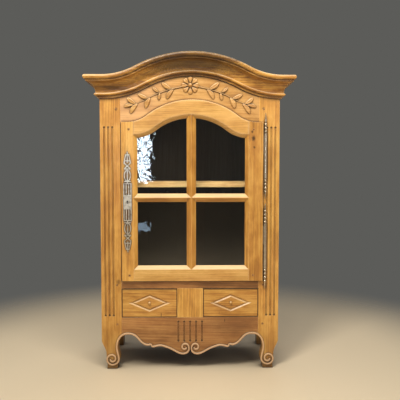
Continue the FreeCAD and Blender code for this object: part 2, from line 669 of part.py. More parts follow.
def board_cleats():
    cleats = []
    for side in (LEFT, RIGHT):
        for top in (f"{MIDDLE_TOP} - floor_thickness", SHELF):
            x = span(side, f"{SIDE_INNER} - cleat_width", SIDE_INNER)
            cleats.append(block(x, SIDE_Y, (f"{top} - cleat_height", top)))
    return grouped(*cleats)


def drawer_runners():
    """Two corner runners behind the posts and a double one behind the divider."""
    runners = []
    ledge_z, guide_z = (f"{APRON_TOP} - runner_height", APRON_TOP), (APRON_TOP, f"{APRON_TOP} + guide_height")
    for side in (LEFT, RIGHT):
        y = (SIDE_Y[0], BACK_Y[0])
        ledge = block(span(side, f"{OPENING} - runner_width", f"{OPENING} + runner_width"), y, ledge_z)
        runners.append(joined(ledge, block(span(side, OPENING, f"{OPENING} + runner_width"), y, guide_z)))
    y = (f"{FRONT} + frame_thickness", BACK_Y[0])
    half = "divider_width / 2"
    ledge = block(grown((f"-{half}", half), "runner_width"), y, ledge_z)
    runners.append(joined(ledge, block((f"-{half}", half), y, guide_z)))
    return grouped(*runners)


# The door. Its lip lies on the frame at the top and on the hinge side, and its tongue fills the opening.

LIGHT_EDGE = value("bevel_width")


def door_slab():
    left, low, meet = value(DOOR_LEFT), value(DOOR_LOW), value(FRONT) - value("seat_clearance")
    lip = door_line().below(left, value(DOOR_RIGHT), low, value(DOOR_FRONT), meet)
    inset = value("top_overlap") + value("door_gap")
    tongue = door_line(inset).below(left, value(OPENING) - value("door_gap"), low, meet, value(DOOR_BACK))
    return lip.fuse(tongue).removeSplitter()


def pane_bounds(column):
    """The glazed opening of a column, left (0) or right (1), between its sight lines."""
    left, right = value(LIGHT_LEFT) + LIGHT_EDGE, value(LIGHT_RIGHT) - LIGHT_EDGE
    centre, half = (left + right) / 2, value("muntin_width") / 2
    return ((left, centre - half), (centre + half, right))[column]


def pane_wire(column, row, y, face):
    """The outline of one light: its sight line (face 0) or the outer line of its bevels (face 1)."""
    edge, ridge = LIGHT_EDGE * face, value("muntin_ridge") / 2
    left, right = pane_bounds(column)
    across = (value("muntin_width") / 2 - ridge) * face
    upright = (value("cross_muntin_width") / 2 - ridge) * face
    left, right = (left - edge, right + across) if column == 0 else (left - across, right + edge)
    cross, half = value(CROSS_MUNTIN), value("cross_muntin_width") / 2
    if row == 1:
        return light_line(LIGHT_EDGE * (1 - face)).wire(left, right, cross + half - upright, y)
    low, high = value(LIGHT_LOW) + LIGHT_EDGE * (1 - face), cross - half + upright
    corners = [Vector(left, y, high), Vector(right, y, high), Vector(right, y, low), Vector(left, y, low)]
    return Part.makePolygon(corners + corners[:1])


def pane_slab(column, row, grow, front, back):
    """A slab of one light's shape, larger or smaller all round by a margin."""
    left, right = pane_bounds(column)
    cross, half = value(CROSS_MUNTIN), value("cross_muntin_width") / 2
    if row == 1:
        line = light_line(LIGHT_EDGE - grow)
        return line.below(left - grow, right + grow, cross + half - grow, front, back)
    low, high = value(LIGHT_LOW) + LIGHT_EDGE - grow, cross - half + grow
    return Part.makeBox(right - left + 2 * grow, back - front, high - low, Vector(left - grow, front, low))


def light_cutters():
    """What the four lights take out of the slab: bevels in front, rebates for the glass behind."""
    front, glass = value(DOOR_FRONT), value(GLASS_FRONT)
    deep = front + value("bevel_depth")
    cutters = []
    for column in (0, 1):
        for row in (0, 1):
            outlines = [pane_wire(column, row, front, 1), pane_wire(column, row, deep, 0)]
            cutters += [Part.makeLoft(outlines, True, True), pane_slab(column, row, 0.0, deep, glass),
                        pane_slab(column, row, value("rebate_width"), glass, value(DOOR_BACK))]
    return cutters


def door_members():
    """The slab cut into its boards along their real joint lines."""
    body = door_slab().cut(light_cutters())
    front, back = value(DOOR_FRONT), value(DOOR_BACK)
    left, right = value(LIGHT_LEFT), value(LIGHT_RIGHT)
    sight_left, sight_right = left + LIGHT_EDGE, right - LIGHT_EDGE
    low, sight_low = value(LIGHT_LOW), value(LIGHT_LOW) + LIGHT_EDGE
    shoulder, floor, sky = value(LIGHT_SHOULDER), 0.0, value(TOP)
    corner = light_line(LIGHT_EDGE).z(sight_left)
    lock = prism([(left, floor), (left, low), (sight_left, sight_low), (sight_left, corner), (left, shoulder),
                  (left, sky), (-sky, sky), (-sky, floor)], front, back)
    corner = light_line(LIGHT_EDGE).z(sight_right)
    hinge = prism([(right, floor), (right, low), (sight_right, sight_low), (sight_right, corner),
                   (right, shoulder), (right, sky), (sky, sky), (sky, floor)], front, back)
    (_, muntin_left), (muntin_right, _) = pane_bounds(0), pane_bounds(1)
    centre = (muntin_left + muntin_right) / 2
    crown = light_line(LIGHT_EDGE).z(centre)
    upright = prism([(muntin_left, sight_low), (centre, low), (muntin_right, sight_low),
                     (muntin_right, crown), (centre, crown + LIGHT_EDGE), (muntin_left, crown)], front, back)
    cross, half = value(CROSS_MUNTIN), value("cross_muntin_width") / 2
    bar_left = prism([(left, cross), (sight_left, cross - half), (muntin_left, cross - half),
                      (muntin_left, cross + half), (sight_left, cross + half)], front, back)
    bar_right = prism([(right, cross), (sight_right, cross - half), (muntin_right, cross - half),
                       (muntin_right, cross + half), (sight_right, cross + half)], front, back)
    middle = prism([(-sky, cross), (sky, cross), (sky, sky), (-sky, sky)], front, back)
    rails = body.cut([lock, hinge, upright, bar_left, bar_right])
    return {
        "door_lock_stile": body.common(lock).cut(bar_left),
        "door_hinge_stile": body.common(hinge).cut(bar_right),
        "door_top_rail": rails.common(middle), "door_bottom_rail": rails.cut(middle),
        "door_upright_muntin": body.common(upright),
        "door_left_muntin": body.common(bar_left), "door_right_muntin": body.common(bar_right),
    }


DOOR_TENON_Y = (f"{GLASS_FRONT} - tenon_thickness + tenon_shoulder", f"{GLASS_FRONT} + tenon_shoulder")
DOOR_LOW_Z = (f"{DOOR_LOW} + tenon_shoulder", f"{LIGHT_LOW} - tenon_shoulder")
DOOR_TOP_Z = (f"{LIGHT_SHOULDER} + tenon_shoulder", f"{OPENING_SHOULDER} - tenon_shoulder - door_gap")


def door_tenon(side, z, room=False):
    """A tenon of a door rail in one stile, or the mortise for it."""
    edge = LIGHT_LEFT if side == LEFT else LIGHT_RIGHT
    reach, y = "door_tenon_length", DOOR_TENON_Y
    if room:
        reach = "(door_tenon_length + end_clearance)"
        y, z = grown(y, "fit_clearance"), grown(z, "fit_clearance")
    ends = (reach, "tenon_setback") if side == LEFT else ("tenon_setback", reach)
    return block((f"{edge} - {ends[0]}", f"{edge} + {ends[1]}"), y, z)


def door_peg_spots(side):
    edge = LIGHT_LEFT if side == LEFT else LIGHT_RIGHT
    x = f"{edge} + {side} * peg_from_shoulder"
    return [(x, f"({z[0]} + {z[1]}) / 2") for z in (DOOR_LOW_Z, DOOR_TOP_Z)]


def door_peg(x, z, room=False):
    length = "door_proud + door_tongue - tenon_shoulder"
    if room:
        return rod("y", (x, f"{DOOR_FRONT} - peg_proud", z), "peg_diameter + 2 * peg_clearance",
                   f"{length} + peg_proud + end_clearance")
    return rod("y", (x, f"{DOOR_FRONT} - peg_proud", z), "peg_diameter", f"{length} + peg_proud")


# The hinges: a bead-ended barrel in two halves, each with a leaf let into its board, and a loose pin.

def barrel_half(joint, way):
    """One half of a barrel with its beaded end, above (1) or below (-1) the joint."""
    end = f"(hinge_joint_gap / 2 + {HALF_BARREL})"
    reach = f"{way} * {end}"
    low = f"{joint} + hinge_joint_gap / 2" if way > 0 else f"{joint} - {end}"
    parts = [rod("z", (HINGE_X, HINGE_Y, low), "barrel_diameter", HALF_BARREL)]
    for bead in range(FINIAL_BEADS):
        z = f"{joint} + {reach} + {way} * (finial_bead / 2 + {bead} * finial_pitch)"
        parts.append(ball((HINGE_X, HINGE_Y, z), f"finial_bead - {bead} * finial_taper"))
    start = f"{joint} + {reach}" if way > 0 else f"{joint} + {reach} - {FINIAL}"
    parts.append(rod("z", (HINGE_X, HINGE_Y, start), "finial_neck", FINIAL))
    tip = f"{joint} + {reach} + {way} * {FINIAL}"
    ends = ("finial_neck", "finial_neck / 4") if way > 0 else ("finial_neck / 4", "finial_neck")
    start = tip if way > 0 else f"{tip} - finial_tip"
    parts.append(taper("z", (HINGE_X, HINGE_Y, start), ends, "finial_tip"))
    return parts


def leaf_z(joint, way):
    near, far = f"{joint} + {way} * leaf_from_joint", f"{joint} + {way} * ({HALF_BARREL} - leaf_from_end)"
    return (near, far) if way > 0 else (far, near)


def post_leaf(joint, room=False):
    x = (f"{HINGE_X} - leaf_thickness / 2", f"{HINGE_X} + leaf_thickness / 2")
    y, z = (HINGE_Y, f"{FRONT} + leaf_depth"), leaf_z(joint, -1)
    if room:
        x, z = grown(x, "leaf_clearance"), grown(z, "leaf_clearance")
        y = (y[0], f"{y[1]} + end_clearance")
    return block(x, y, z)


def door_leaf(joint, room=False):
    x = (f"{DOOR_RIGHT} - leaf_depth", HINGE_X)
    y, z = (f"{HINGE_Y} - leaf_thickness / 2", f"{HINGE_Y} + leaf_thickness / 2"), leaf_z(joint, 1)
    if room:
        y, z = grown(y, "leaf_clearance"), grown(z, "leaf_clearance")
        x = (f"{x[0]} - end_clearance", x[1])
    return block(x, y, z)


def leaf_slots():
    return [post_leaf(joint, room=True) for joint in HINGES.values()]


def pin_bore(joint, extra="0"):
    return rod("z", (HINGE_X, HINGE_Y, f"{joint} - {PIN_REACH}"), "pin_diameter + 2 * pin_clearance",
               f"2 * {PIN_REACH} + {extra}")


def hinge_post_half(joint):
    return carved(joined(*barrel_half(joint, -1), post_leaf(joint)), pin_bore(joint))


def hinge_door_half(joint):
    return carved(joined(*barrel_half(joint, 1), door_leaf(joint)), pin_bore(joint, "end_clearance"))


def hinge_pins():
    starts = [(HINGE_X, HINGE_Y, f"{joint} - {PIN_REACH}") for joint in HINGES.values()]
    return grouped(*[rod("z", start, "pin_diameter", f"2 * {PIN_REACH}") for start in starts])


# The lock: a pierced plate in front, a case with a sliding bolt behind, and a keeper in the post.

def slanted_bar(start, end):
    """A straight bar of the openwork between two points, measured from the middle of the plate."""
    (x0, z0), (x1, z1) = start, end
    centre_x, centre_z = value(PLATE_X), value(PLATE_Z)
    length, half = math.hypot(x1 - x0, z1 - z0), value("plate_bar") / 2
    across = (-(z1 - z0) / length * half, (x1 - x0) / length * half)
    corners = [(centre_x + x + way * across[0], centre_z + z + way * across[1])
               for x, z, way in ((x0, z0, 1), (x1, z1, 1), (x1, z1, -1), (x0, z0, -1))]
    return prism(corners, value(DOOR_FRONT) - value("plate_thickness"), value(DOOR_FRONT))


def oval_ring(low, high, half_width):
    """An oval of bar width, standing upright between two heights."""
    centre = Vector(value(PLATE_X), value(DOOR_FRONT), value(PLATE_Z) + (low + high) / 2)
    turn = FreeCAD.Rotation(Vector(1, 0, 0), 90)
    rings = []
    for shrink in (0.0, value("plate_bar")):
        oval = Part.Ellipse(Vector(), (high - low) / 2 - shrink, half_width - shrink)
        face = Part.Face(Part.Wire(oval.toShape()))
        face.rotate(Vector(), Vector(0, 0, 1), 90)
        face.Placement = FreeCAD.Placement(centre, turn).multiply(face.Placement)
        rings.append(face.extrude(Vector(0, -value("plate_thickness"), 0)))
    return rings[0].cut(rings[1])


# The openwork beyond the plate's plain middle, as shares of its reach and of the plate's half width.
GRILLE_SHARE, COLLAR_SHARE, CAP_SHARE, TIP_SHARE = 0.26, 0.79, 0.93, 1.0
OVAL_SHARES, CROSS_SHARES, OVAL_WIDTH_SHARE = (0.31, 0.58), (0.60, 0.74), 0.86
MIDDLE_SHARES = (((-1.0, GRILLE_SHARE), (1.0, GRILLE_SHARE)), ((-0.8, OVAL_SHARES[0]), (0.8, OVAL_SHARES[0])),
                 ((-0.7, CROSS_SHARES[0]), (0.7, CROSS_SHARES[0])),
                 ((-0.8, COLLAR_SHARE), (0.8, COLLAR_SHARE)), ((-0.53, CAP_SHARE), (0.53, CAP_SHARE)),
                 ((0.0, GRILLE_SHARE), (0.0, CROSS_SHARES[0])), ((0.0, CROSS_SHARES[1]), (0.0, TIP_SHARE)))
PAIRED_SHARES = (((0.88, 0.0), (0.88, GRILLE_SHARE)), ((0.31, 0.0), (0.31, GRILLE_SHARE)),
                 ((0.8, CROSS_SHARES[0]), (-0.8, CROSS_SHARES[1])),
                 ((0.8, CROSS_SHARES[1]), (0.66, COLLAR_SHARE)), ((0.7, COLLAR_SHARE), (0.35, CAP_SHARE)))


def ornament(way):
    """The openwork above (1) or below (-1) the plain middle: a grille, an oval, a cross and a finial."""
    half, start, reach = value("plate_width") / 2, value("plate_plain") / 2, value("plate_ornament")

    def spot(point, side=RIGHT):
        return (side * half * point[0], way * (start + reach * point[1]))

    shapes = [slanted_bar(spot(low), spot(high)) for low, high in MIDDLE_SHARES]
    for side in (LEFT, RIGHT):
        shapes += [slanted_bar(spot(low, side), spot(high, side)) for low, high in PAIRED_SHARES]
    heights = sorted(spot((0, level))[1] for level in OVAL_SHARES)
    return shapes + [oval_ring(*heights, half * OVAL_WIDTH_SHARE)]


def escutcheon_plate():
    half, plain = value("plate_width") / 2, value("plate_plain") / 2
    x, z, front = value(PLATE_X), value(PLATE_Z), value(DOOR_FRONT) - value("plate_thickness")
    corners = [(x - half, z - plain), (x + half, z - plain), (x + half, z + plain), (x - half, z + plain)]
    middle = prism(corners, front, value(DOOR_FRONT))
    whole = middle.fuse(ornament(1) + ornament(-1)).removeSplitter()
    return carved(shaped(whole), *keyhole(f"{DOOR_FRONT} - plate_thickness", "plate_thickness"))


def keyhole(front, depth):
    """A round hole over a narrower slot."""
    waist = f"{PLATE_Z} + keyhole_height / 4"
    slot = block(grown((PLATE_X, PLATE_X), "keyhole_slot / 2"), (front, f"{front} + {depth}"),
                 (f"{PLATE_Z} - keyhole_height / 2", waist))
    return [rod("y", (PLATE_X, front, waist), "keyhole_width", depth), slot]


def plate_nails():
    """Round-headed nails through the plate into the stile."""
    nails = []
    face = f"{DOOR_FRONT} - plate_thickness"
    for way in (1, -1):
        for side in (LEFT, RIGHT):
            x = f"{PLATE_X} + {side} * (plate_width / 2 - plate_nail)"
            z = f"{PLATE_Z} + {way} * (plate_plain / 2 - plate_nail)"
            room = [grown((place, place), "plate_nail") for place in (x, z)]
            before = block(room[0], (f"{face} - plate_nail", face), room[1])
            nails.append(within(ball((x, face, z), "plate_nail"), before))
    return grouped(*nails)


CASE_LEFT = f"({DOOR_LEFT} + lock_edge_gap)"
BOLT_X = (CASE_LEFT, f"{CASE_LEFT} + bolt_length")
BOLT_Y_SPAN = (f"{BOLT_Y} - bolt_thickness / 2", f"{BOLT_Y} + bolt_thickness / 2")
BOLT_Z = (f"{PLATE_Z} - bolt_width / 2", f"{PLATE_Z} + bolt_width / 2")
KEEPER_Z = (f"{PLATE_Z} - keeper_height / 2", f"{PLATE_Z} + keeper_height / 2")


def lock_case():
    case = block((CASE_LEFT, f"{CASE_LEFT} + lock_case_width"), (DOOR_BACK, f"{DOOR_BACK} + lock_case_depth"),
                 (f"{PLATE_Z} - lock_case_height / 2", f"{PLATE_Z} + lock_case_height / 2"))
    channel = block((f"{CASE_LEFT} - end_clearance", f"{BOLT_X[1]} + end_clearance"),
                    grown(BOLT_Y_SPAN, "bolt_clearance"), grown(BOLT_Z, "bolt_clearance"))
    return carved(case, channel)


def lock_bolt():
    return block(BOLT_X, BOLT_Y_SPAN, BOLT_Z)


def keeper_room():
    """What the left post loses: the seat of the keeper and the hole behind it for the thrown bolt."""
    seat = block((f"-{OPENING} - keeper_thickness", f"-{OPENING} + end_clearance"),
                 (f"{BOLT_Y} - keeper_width / 2", f"{BOLT_Y} + keeper_width / 2"),
                 KEEPER_Z)
    hole = block((f"{CASE_LEFT} - bolt_throw - 2 * end_clearance", f"-{OPENING}"),
                 grown(BOLT_Y_SPAN, "2 * bolt_clearance"), grown(BOLT_Z, "2 * bolt_clearance"))
    return [seat, hole]


def lock_keeper():
    plate = block((f"-{OPENING} - keeper_thickness", f"-{OPENING}"),
                  (f"{BOLT_Y} - keeper_width / 2", f"{BOLT_Y} + keeper_width / 2"),
                  KEEPER_Z)
    hole = block((f"-{OPENING} - 2 * keeper_thickness", f"-{OPENING} + end_clearance"),
                 grown(BOLT_Y_SPAN, "2 * bolt_clearance"), grown(BOLT_Z, "2 * bolt_clearance"))
    return carved(plate, hole)


def glazing_beads():
    """A mitred strip round the back of each pane."""
    back = value(GLASS_FRONT) + value("glass_thickness")
    rebate, clearance = value("rebate_width"), value("fit_clearance")
    rings = []
    for column in (0, 1):
        for row in (0, 1):
            outer = pane_slab(column, row, rebate - clearance, back, back + value("glazing_bead_depth"))
            inner = pane_slab(column, row, rebate - value("glazing_bead_width"), back - clearance,
                              back + value("glazing_bead_depth") + clearance)
            rings.append(shaped(outer.cut(inner)))
    return grouped(*rings)


def glass_pane(column, row):
    front = value(GLASS_FRONT)
    return shaped(pane_slab(column, row, value("rebate_width") - value("glass_clearance"), front,
                            front + value("glass_thickness")))


# The drawers.

def drawer_bounds(side):
    """The front of a drawer between its gaps, along X."""
    return grown(span(side, "divider_width / 2", OPENING), "-drawer_gap")


def drawer_box(side):
    """The outside of a drawer's two sides, along X."""
    return grown(span(side, "divider_width / 2", OPENING), "-drawer_side_gap")


DRAWER_LOW = f"({APRON_TOP} + slide_clearance)"
DRAWER_FRONT_BACK = f"({FRONT} + drawer_front_thickness)"
DRAWER_END = f"({DRAWER_FRONT_BACK} + drawer_length)"
DRAWER_SIDE_Z = (DRAWER_LOW, f"{DRAWER_LOW} + drawer_side_height")
BOTTOM_LOW = f"({DRAWER_LOW} + drawer_bottom_rise)"
BOTTOM_Z = (BOTTOM_LOW, f"({BOTTOM_LOW} + drawer_bottom_thickness)")


def drawer_side(side, hand, room=False):
    """One side board, on the left or right hand of its drawer, lapped into the front."""
    low, high = drawer_box(side)
    x = (low, f"{low} + drawer_side_thickness") if hand == LEFT else (f"{high} - drawer_side_thickness", high)
    y, z = (f"{DRAWER_FRONT_BACK} - drawer_lap", DRAWER_END), DRAWER_SIDE_Z
    if room:
        x, z = grown(x, "fit_clearance"), grown(z, "fit_clearance")
        y = (f"{y[0]} - fit_clearance", y[1])
    return block(x, y, z)


def drawer_bottom_slab(side, room=False):
    x = grown(drawer_box(side), "-drawer_side_thickness / 2")
    y, z = (f"{DRAWER_FRONT_BACK} - groove_depth / 2", DRAWER_END), BOTTOM_Z
    if room:
        x, y, z = grown(x, "end_clearance / 2"), grown(y, "end_clearance / 2"), grown(z, "fit_clearance")
    return block(x, y, z)


def diamond_groove(side):
    """A V-groove along a diamond, between two slopes that meet at its bottom."""
    low, high = drawer_bounds(side)
    centre_x, centre_z = value(f"({low} + {high}) / 2"), value(f"({APRON_TOP} + middle_rail_z) / 2")
    front, deep = value(FRONT), value(FRONT) + value("diamond_depth")
    half_width, half_height = value("diamond_half_width"), value("diamond_half_height")
    slope = math.hypot(half_width, half_height) / (half_width * half_height)

    def diamond(inset, y):
        share = 1 - inset * slope
        corners = [Vector(centre_x + half_width * share * x, y, centre_z + half_height * share * z)
                   for x, z in ((1, 0), (0, 1), (-1, 0), (0, -1))]
        return Part.makePolygon(corners + corners[:1])

    groove = value("diamond_groove")
    bottom = diamond(groove / 2, deep)
    outer = Part.makeLoft([diamond(0, front), bottom], True, True)
    return outer.cut(Part.makeLoft([diamond(groove, front), bottom], True, True))


def drawer_knob_place(side, forward):
    low, high = drawer_bounds(side)
    return (f"({low} + {high}) / 2", f"{FRONT} - ({forward})", f"({APRON_TOP} + middle_rail_z) / 2")


def drawer_front(side):
    z = grown((APRON_TOP, "middle_rail_z"), "-drawer_gap")
    board = block(drawer_bounds(side), (FRONT, DRAWER_FRONT_BACK), z)
    tools = [drawer_side(side, hand, room=True) for hand in (LEFT, RIGHT)]
    tools += [drawer_bottom_slab(side, room=True), shaped(diamond_groove(side))]
    through = "drawer_front_thickness + 2 * end_clearance"
    tools.append(rod("y", drawer_knob_place(side, "end_clearance"), "knob_shank", through))
    return carved(board, *tools)


def drawer_knob(side):
    head = ball(drawer_knob_place(side, "knob_length - knob_diameter / 2"), "knob_diameter")
    reach = "knob_length / 2 + drawer_front_thickness"
    neck = rod("y", drawer_knob_place(side, "knob_length / 2"), "knob_shank", reach)
    low, high = drawer_bounds(side)
    before = block((low, high), (f"{FRONT} - 2 * knob_length", FRONT), (APRON_TOP, "middle_rail_z"))
    return joined(within(head, before), neck)


def drawer_sides(side):
    groove = drawer_bottom_slab(side, room=True)
    return grouped(*[carved(drawer_side(side, hand), groove) for hand in (LEFT, RIGHT)])


def drawer_back(side):
    x = grown(drawer_box(side), "-drawer_side_thickness")
    return block(x, (f"{DRAWER_END} - drawer_side_thickness", DRAWER_END), (BOTTOM_Z[1], DRAWER_SIDE_Z[1]))


# Every piece in its place.

SIDES = ((LEFT, "left"), (RIGHT, "right"))
for side, word in SIDES:
    piece(f"front_post_{word}", front_post(side))
    piece(f"rear_post_{word}", rear_post(side))
    piece(f"side_top_rail_{word}", side_rail(side, SIDE_TOP_Z))
    piece(f"side_bottom_rail_{word}", side_rail(side, SIDE_LOW_Z))
    piece(f"side_panel_{word}", side_panel(side))
    piece(f"cornice_return_{word}", cornice_return(side))
piece("frieze_rail", frieze_rail())
piece("middle_rail", middle_rail())
piece("drawer_divider", drawer_divider())
piece("apron", apron())
piece("back_top_rail", back_rail(BACK_TOP_Z))
piece("back_bottom_rail", back_rail(BACK_LOW_Z))
piece("back_boards", back_boards())
piece("cornice_front", cornice_front())
piece("top_board", top_board())
floor_front = f"{FRONT} + frame_thickness"
piece("cupboard_floor", inner_board(floor_front, f"{MIDDLE_TOP} - floor_thickness", MIDDLE_TOP))
piece("shelf", inner_board(f"{FRONT} + shelf_setback", SHELF, f"{SHELF} + shelf_thickness"))
piece("board_cleats", board_cleats())
piece("drawer_runners", drawer_runners())
piece("frame_pegs", grouped(*[frame_peg(side, z) for side, _ in SIDES for z in PEG_HEIGHTS]))
piece("lock_keeper", lock_keeper())

members = door_members()
spots = {side: door_peg_spots(side) for side, _ in SIDES}
stile_names = {LEFT: "door_lock_stile", RIGHT: "door_hinge_stile"}
for side, name in stile_names.items():
    cuts = [door_tenon(side, z, room=True) for z in (DOOR_LOW_Z, DOOR_TOP_Z)]
    cuts += [door_peg(x, z, room=True) for x, z in spots[side]]
    if side == LEFT:
        cuts += keyhole(DOOR_FRONT, "door_proud + door_tongue")
    else:
        cuts += [door_leaf(joint, room=True) for joint in HINGES.values()]
    piece(name, carved(shaped(members[name]), *cuts))
for level, (name, z) in enumerate((("door_bottom_rail", DOOR_LOW_Z), ("door_top_rail", DOOR_TOP_Z))):
    rail = joined(shaped(members[name]), *[door_tenon(side, z) for side, _ in SIDES])
    piece(name, carved(rail, *[door_peg(*spots[side][level], room=True) for side, _ in SIDES]))
for name in ("door_upright_muntin", "door_left_muntin", "door_right_muntin"):
    piece(name, shaped(members[name]))
for column, word in enumerate(("left", "right")):
    for row, level in enumerate(("lower", "upper")):
        piece(f"glass_{level}_{word}", glass_pane(column, row))
piece("glazing_beads", glazing_beads())
piece("door_pegs", grouped(*[door_peg(x, z) for side, _ in SIDES for x, z in spots[side]]))
piece("escutcheon_plate", escutcheon_plate())
piece("plate_nails", plate_nails())
piece("lock_case", lock_case())
piece("lock_bolt", lock_bolt())
for level, joint in HINGES.items():
    piece(f"{level}_hinge_post_half", hinge_post_half(joint))
    piece(f"{level}_hinge_door_half", hinge_door_half(joint))
piece("hinge_pins", hinge_pins())

for side, word in SIDES:
    piece(f"drawer_{word}_front", drawer_front(side))
    piece(f"drawer_{word}_sides", drawer_sides(side))
    piece(f"drawer_{word}_back", drawer_back(side))
    piece(f"drawer_{word}_bottom", drawer_bottom_slab(side))
    piece(f"drawer_{word}_knob", drawer_knob(side))

doc.recompute()
for item in doc.Objects:
    if "Invalid" in item.State or "Error" in item.State:
        raise RuntimeError(f"{item.Label} ({item.Name}) did not build: {item.State}")
for name, solid in PIECES.items():
    if solid.Shape.isNull() or not solid.Shape.isValid() or not solid.Shape.Solids:
        raise RuntimeError(f"{name} has no sound solid")
os.makedirs("parts", exist_ok=True)
for name, solid in PIECES.items():
    solid.Shape.exportStep(f"parts/{name}.step")
print(f"{len(PIECES)} pieces, {sum(len(solid.Shape.Solids) for solid in PIECES.values())} solids")
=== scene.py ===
"""A small waxed bonnetiere on a pale floor: procedural wood, steel and glass on the CAD boards, and the
small pieces that the solids leave out, which are the carved garland of the frieze, the tongues of the
back boards and two bits of the apron's moulding. Lengths are metres in the row frame: +Z up, and the
front faces -Y."""
import math
from collections import namedtuple
import bmesh
import bpy
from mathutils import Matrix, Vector

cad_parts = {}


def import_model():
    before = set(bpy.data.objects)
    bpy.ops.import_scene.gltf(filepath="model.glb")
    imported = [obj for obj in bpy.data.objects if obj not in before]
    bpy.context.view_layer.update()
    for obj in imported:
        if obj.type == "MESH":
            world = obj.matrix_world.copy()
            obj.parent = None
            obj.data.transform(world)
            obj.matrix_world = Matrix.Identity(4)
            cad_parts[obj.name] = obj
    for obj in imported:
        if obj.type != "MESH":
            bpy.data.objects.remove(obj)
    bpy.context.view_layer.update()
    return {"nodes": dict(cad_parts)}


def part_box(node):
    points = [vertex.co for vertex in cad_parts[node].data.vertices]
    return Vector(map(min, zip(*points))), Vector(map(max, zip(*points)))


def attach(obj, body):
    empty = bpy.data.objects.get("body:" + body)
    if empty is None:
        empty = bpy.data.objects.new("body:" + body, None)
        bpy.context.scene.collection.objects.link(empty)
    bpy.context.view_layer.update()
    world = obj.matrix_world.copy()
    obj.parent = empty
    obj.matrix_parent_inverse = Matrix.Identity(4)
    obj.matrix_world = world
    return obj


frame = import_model()
NODES = frame["nodes"]
MM = 0.001
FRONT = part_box("frieze_rail")[0].y
SIDES = (("left", -1), ("right", 1))


def linear(red, green, blue):
    """The scene's linear colour for screen values from 0 to 255."""
    def one(value):
        share = value / 255
        return share / 12.92 if share <= 0.04045 else ((share + 0.055) / 1.055) ** 2.4
    return (one(red), one(green), one(blue), 1.0)


def put(name, data):
    """A new object in the scene."""
    thing = bpy.data.objects.new(name, data)
    bpy.context.scene.collection.objects.link(thing)
    return thing


# Node helpers

class Tree:
    """A few short ways to add and join nodes."""

    def __init__(self, tree):
        self.nodes, self.links = tree.nodes, tree.links

    def add(self, kind, **settings):
        node = self.nodes.new("ShaderNode" + kind)
        for name, setting in settings.items():
            setattr(node, name, setting)
        return node

    def feed(self, socket, source):
        if hasattr(source, "is_output"):
            self.links.new(source, socket)
        else:
            socket.default_value = source

    def feed_all(self, node, sources):
        for socket, source in zip(node.inputs, sources):
            self.feed(socket, source)
        return node

    def math(self, operation, *sources):
        return self.feed_all(self.add("Math", operation=operation), sources).outputs[0]

    def vector(self, operation, *sources):
        node = self.feed_all(self.add("VectorMath", operation=operation), sources)
        return node.outputs["Value" if operation in ("LENGTH", "DOT_PRODUCT") else "Vector"]

    def split(self, vector):
        return self.feed_all(self.add("SeparateXYZ"), [vector]).outputs

    def mix(self, share, first, second):
        """The second colour over the first, by its share."""
        node = self.add("Mix", data_type="RGBA")
        for place, source in ((0, share), (6, first), (7, second)):
            self.feed(node.inputs[place], source)
        return node.outputs[2]

    def mix_shaders(self, share, first, second):
        return self.feed_all(self.add("MixShader"), (share, first, second)).outputs[0]

    def step(self, source, low, high, to_low=0.0, to_high=1.0):
        """A smooth rise from to_low to to_high as source goes from low to high."""
        node = self.add("MapRange", interpolation_type="SMOOTHSTEP")
        for name, value in (("From Min", low), ("From Max", high), ("To Min", to_low), ("To Max", to_high)):
            node.inputs[name].default_value = value
        self.feed(node.inputs["Value"], source)
        return node.outputs[0]

    def noise(self, vector, scale, detail=3.0, roughness=0.5, output="Fac"):
        node = self.add("TexNoise")
        self.feed(node.inputs["Vector"], vector)
        node.inputs["Scale"].default_value = scale
        node.inputs["Detail"].default_value = detail
        node.inputs["Roughness"].default_value = roughness
        return node.outputs[output]

    def mapped(self, vector, location=(0, 0, 0), rotation=(0, 0, 0), scale=(1, 1, 1)):
        return self.feed_all(self.add("Mapping"), (vector, location, rotation, scale)).outputs[0]

    def open_air(self, distance, samples):
        """The share of open air round each point, as far out as distance."""
        node = self.add("AmbientOcclusion", samples=samples)
        node.inputs["Distance"].default_value = distance
        return node.outputs["AO"]

    def bump(self, height, strength, distance):
        node = self.add("Bump")
        node.inputs["Strength"].default_value = strength
        node.inputs["Distance"].default_value = distance
        self.feed(node.inputs["Height"], height)
        return node


def new_material(name):
    material = bpy.data.materials.new(name)
    material.use_nodes = True
    tree = Tree(material.node_tree)
    return material, tree, material.node_tree.nodes["Principled BSDF"]


def set_surface(material, tree, shader):
    tree.feed(material.node_tree.nodes["Material Output"].inputs["Surface"], shader)


# The grain of a board along Z

RING_PITCH = 8 * MM
LONG_RINGS = 0.05
RING_WARP = 34 * MM
WARP_SCALE, WARP_DETAIL = 11.0, 2.0
PITCH_DRIFT = 14 * MM
LATE_WOOD, RING_END = (0.3, 0.85), (0.88, 1.0)
FAINTEST_RINGS = 0.25

# A layer is noise: its scale, its stretch along the board, its detail and roughness, where in the noise the
# board lies, and the two values between which it rises from none to whole.
DRIFT_LAYER = (24.0, 0.1, 1.0, 0.5, (5, 5, 5), None)
RINGS_SEEN_LAYER = (16.0, 0.12, 1.0, 0.5, (9, 2, 4), (0.38, 0.62))
LAYERS = {
    "Veins": (55.0, 0.045, 3.0, 0.55, (0, 0, 0), (0.36, 0.68)),
    "Streaks": (210.0, 0.035, 3.0, 0.6, (2, 7, 1), (0.38, 0.66)),
    "Fibres": (900.0, 0.022, 2.0, 0.6, (0, 0, 0), None),
    "Pores": (1500.0, 0.04, 1.0, 0.5, (3, 1, 2), (0.62, 0.72)),
    "Blotches": (26.0, 0.42, 4.0, 0.6, (0, 0, 0), (0.3, 0.7)),
    "Flush": (12.0, 0.3, 3.0, 0.55, (8, 3, 6), (0.35, 0.7)),
}


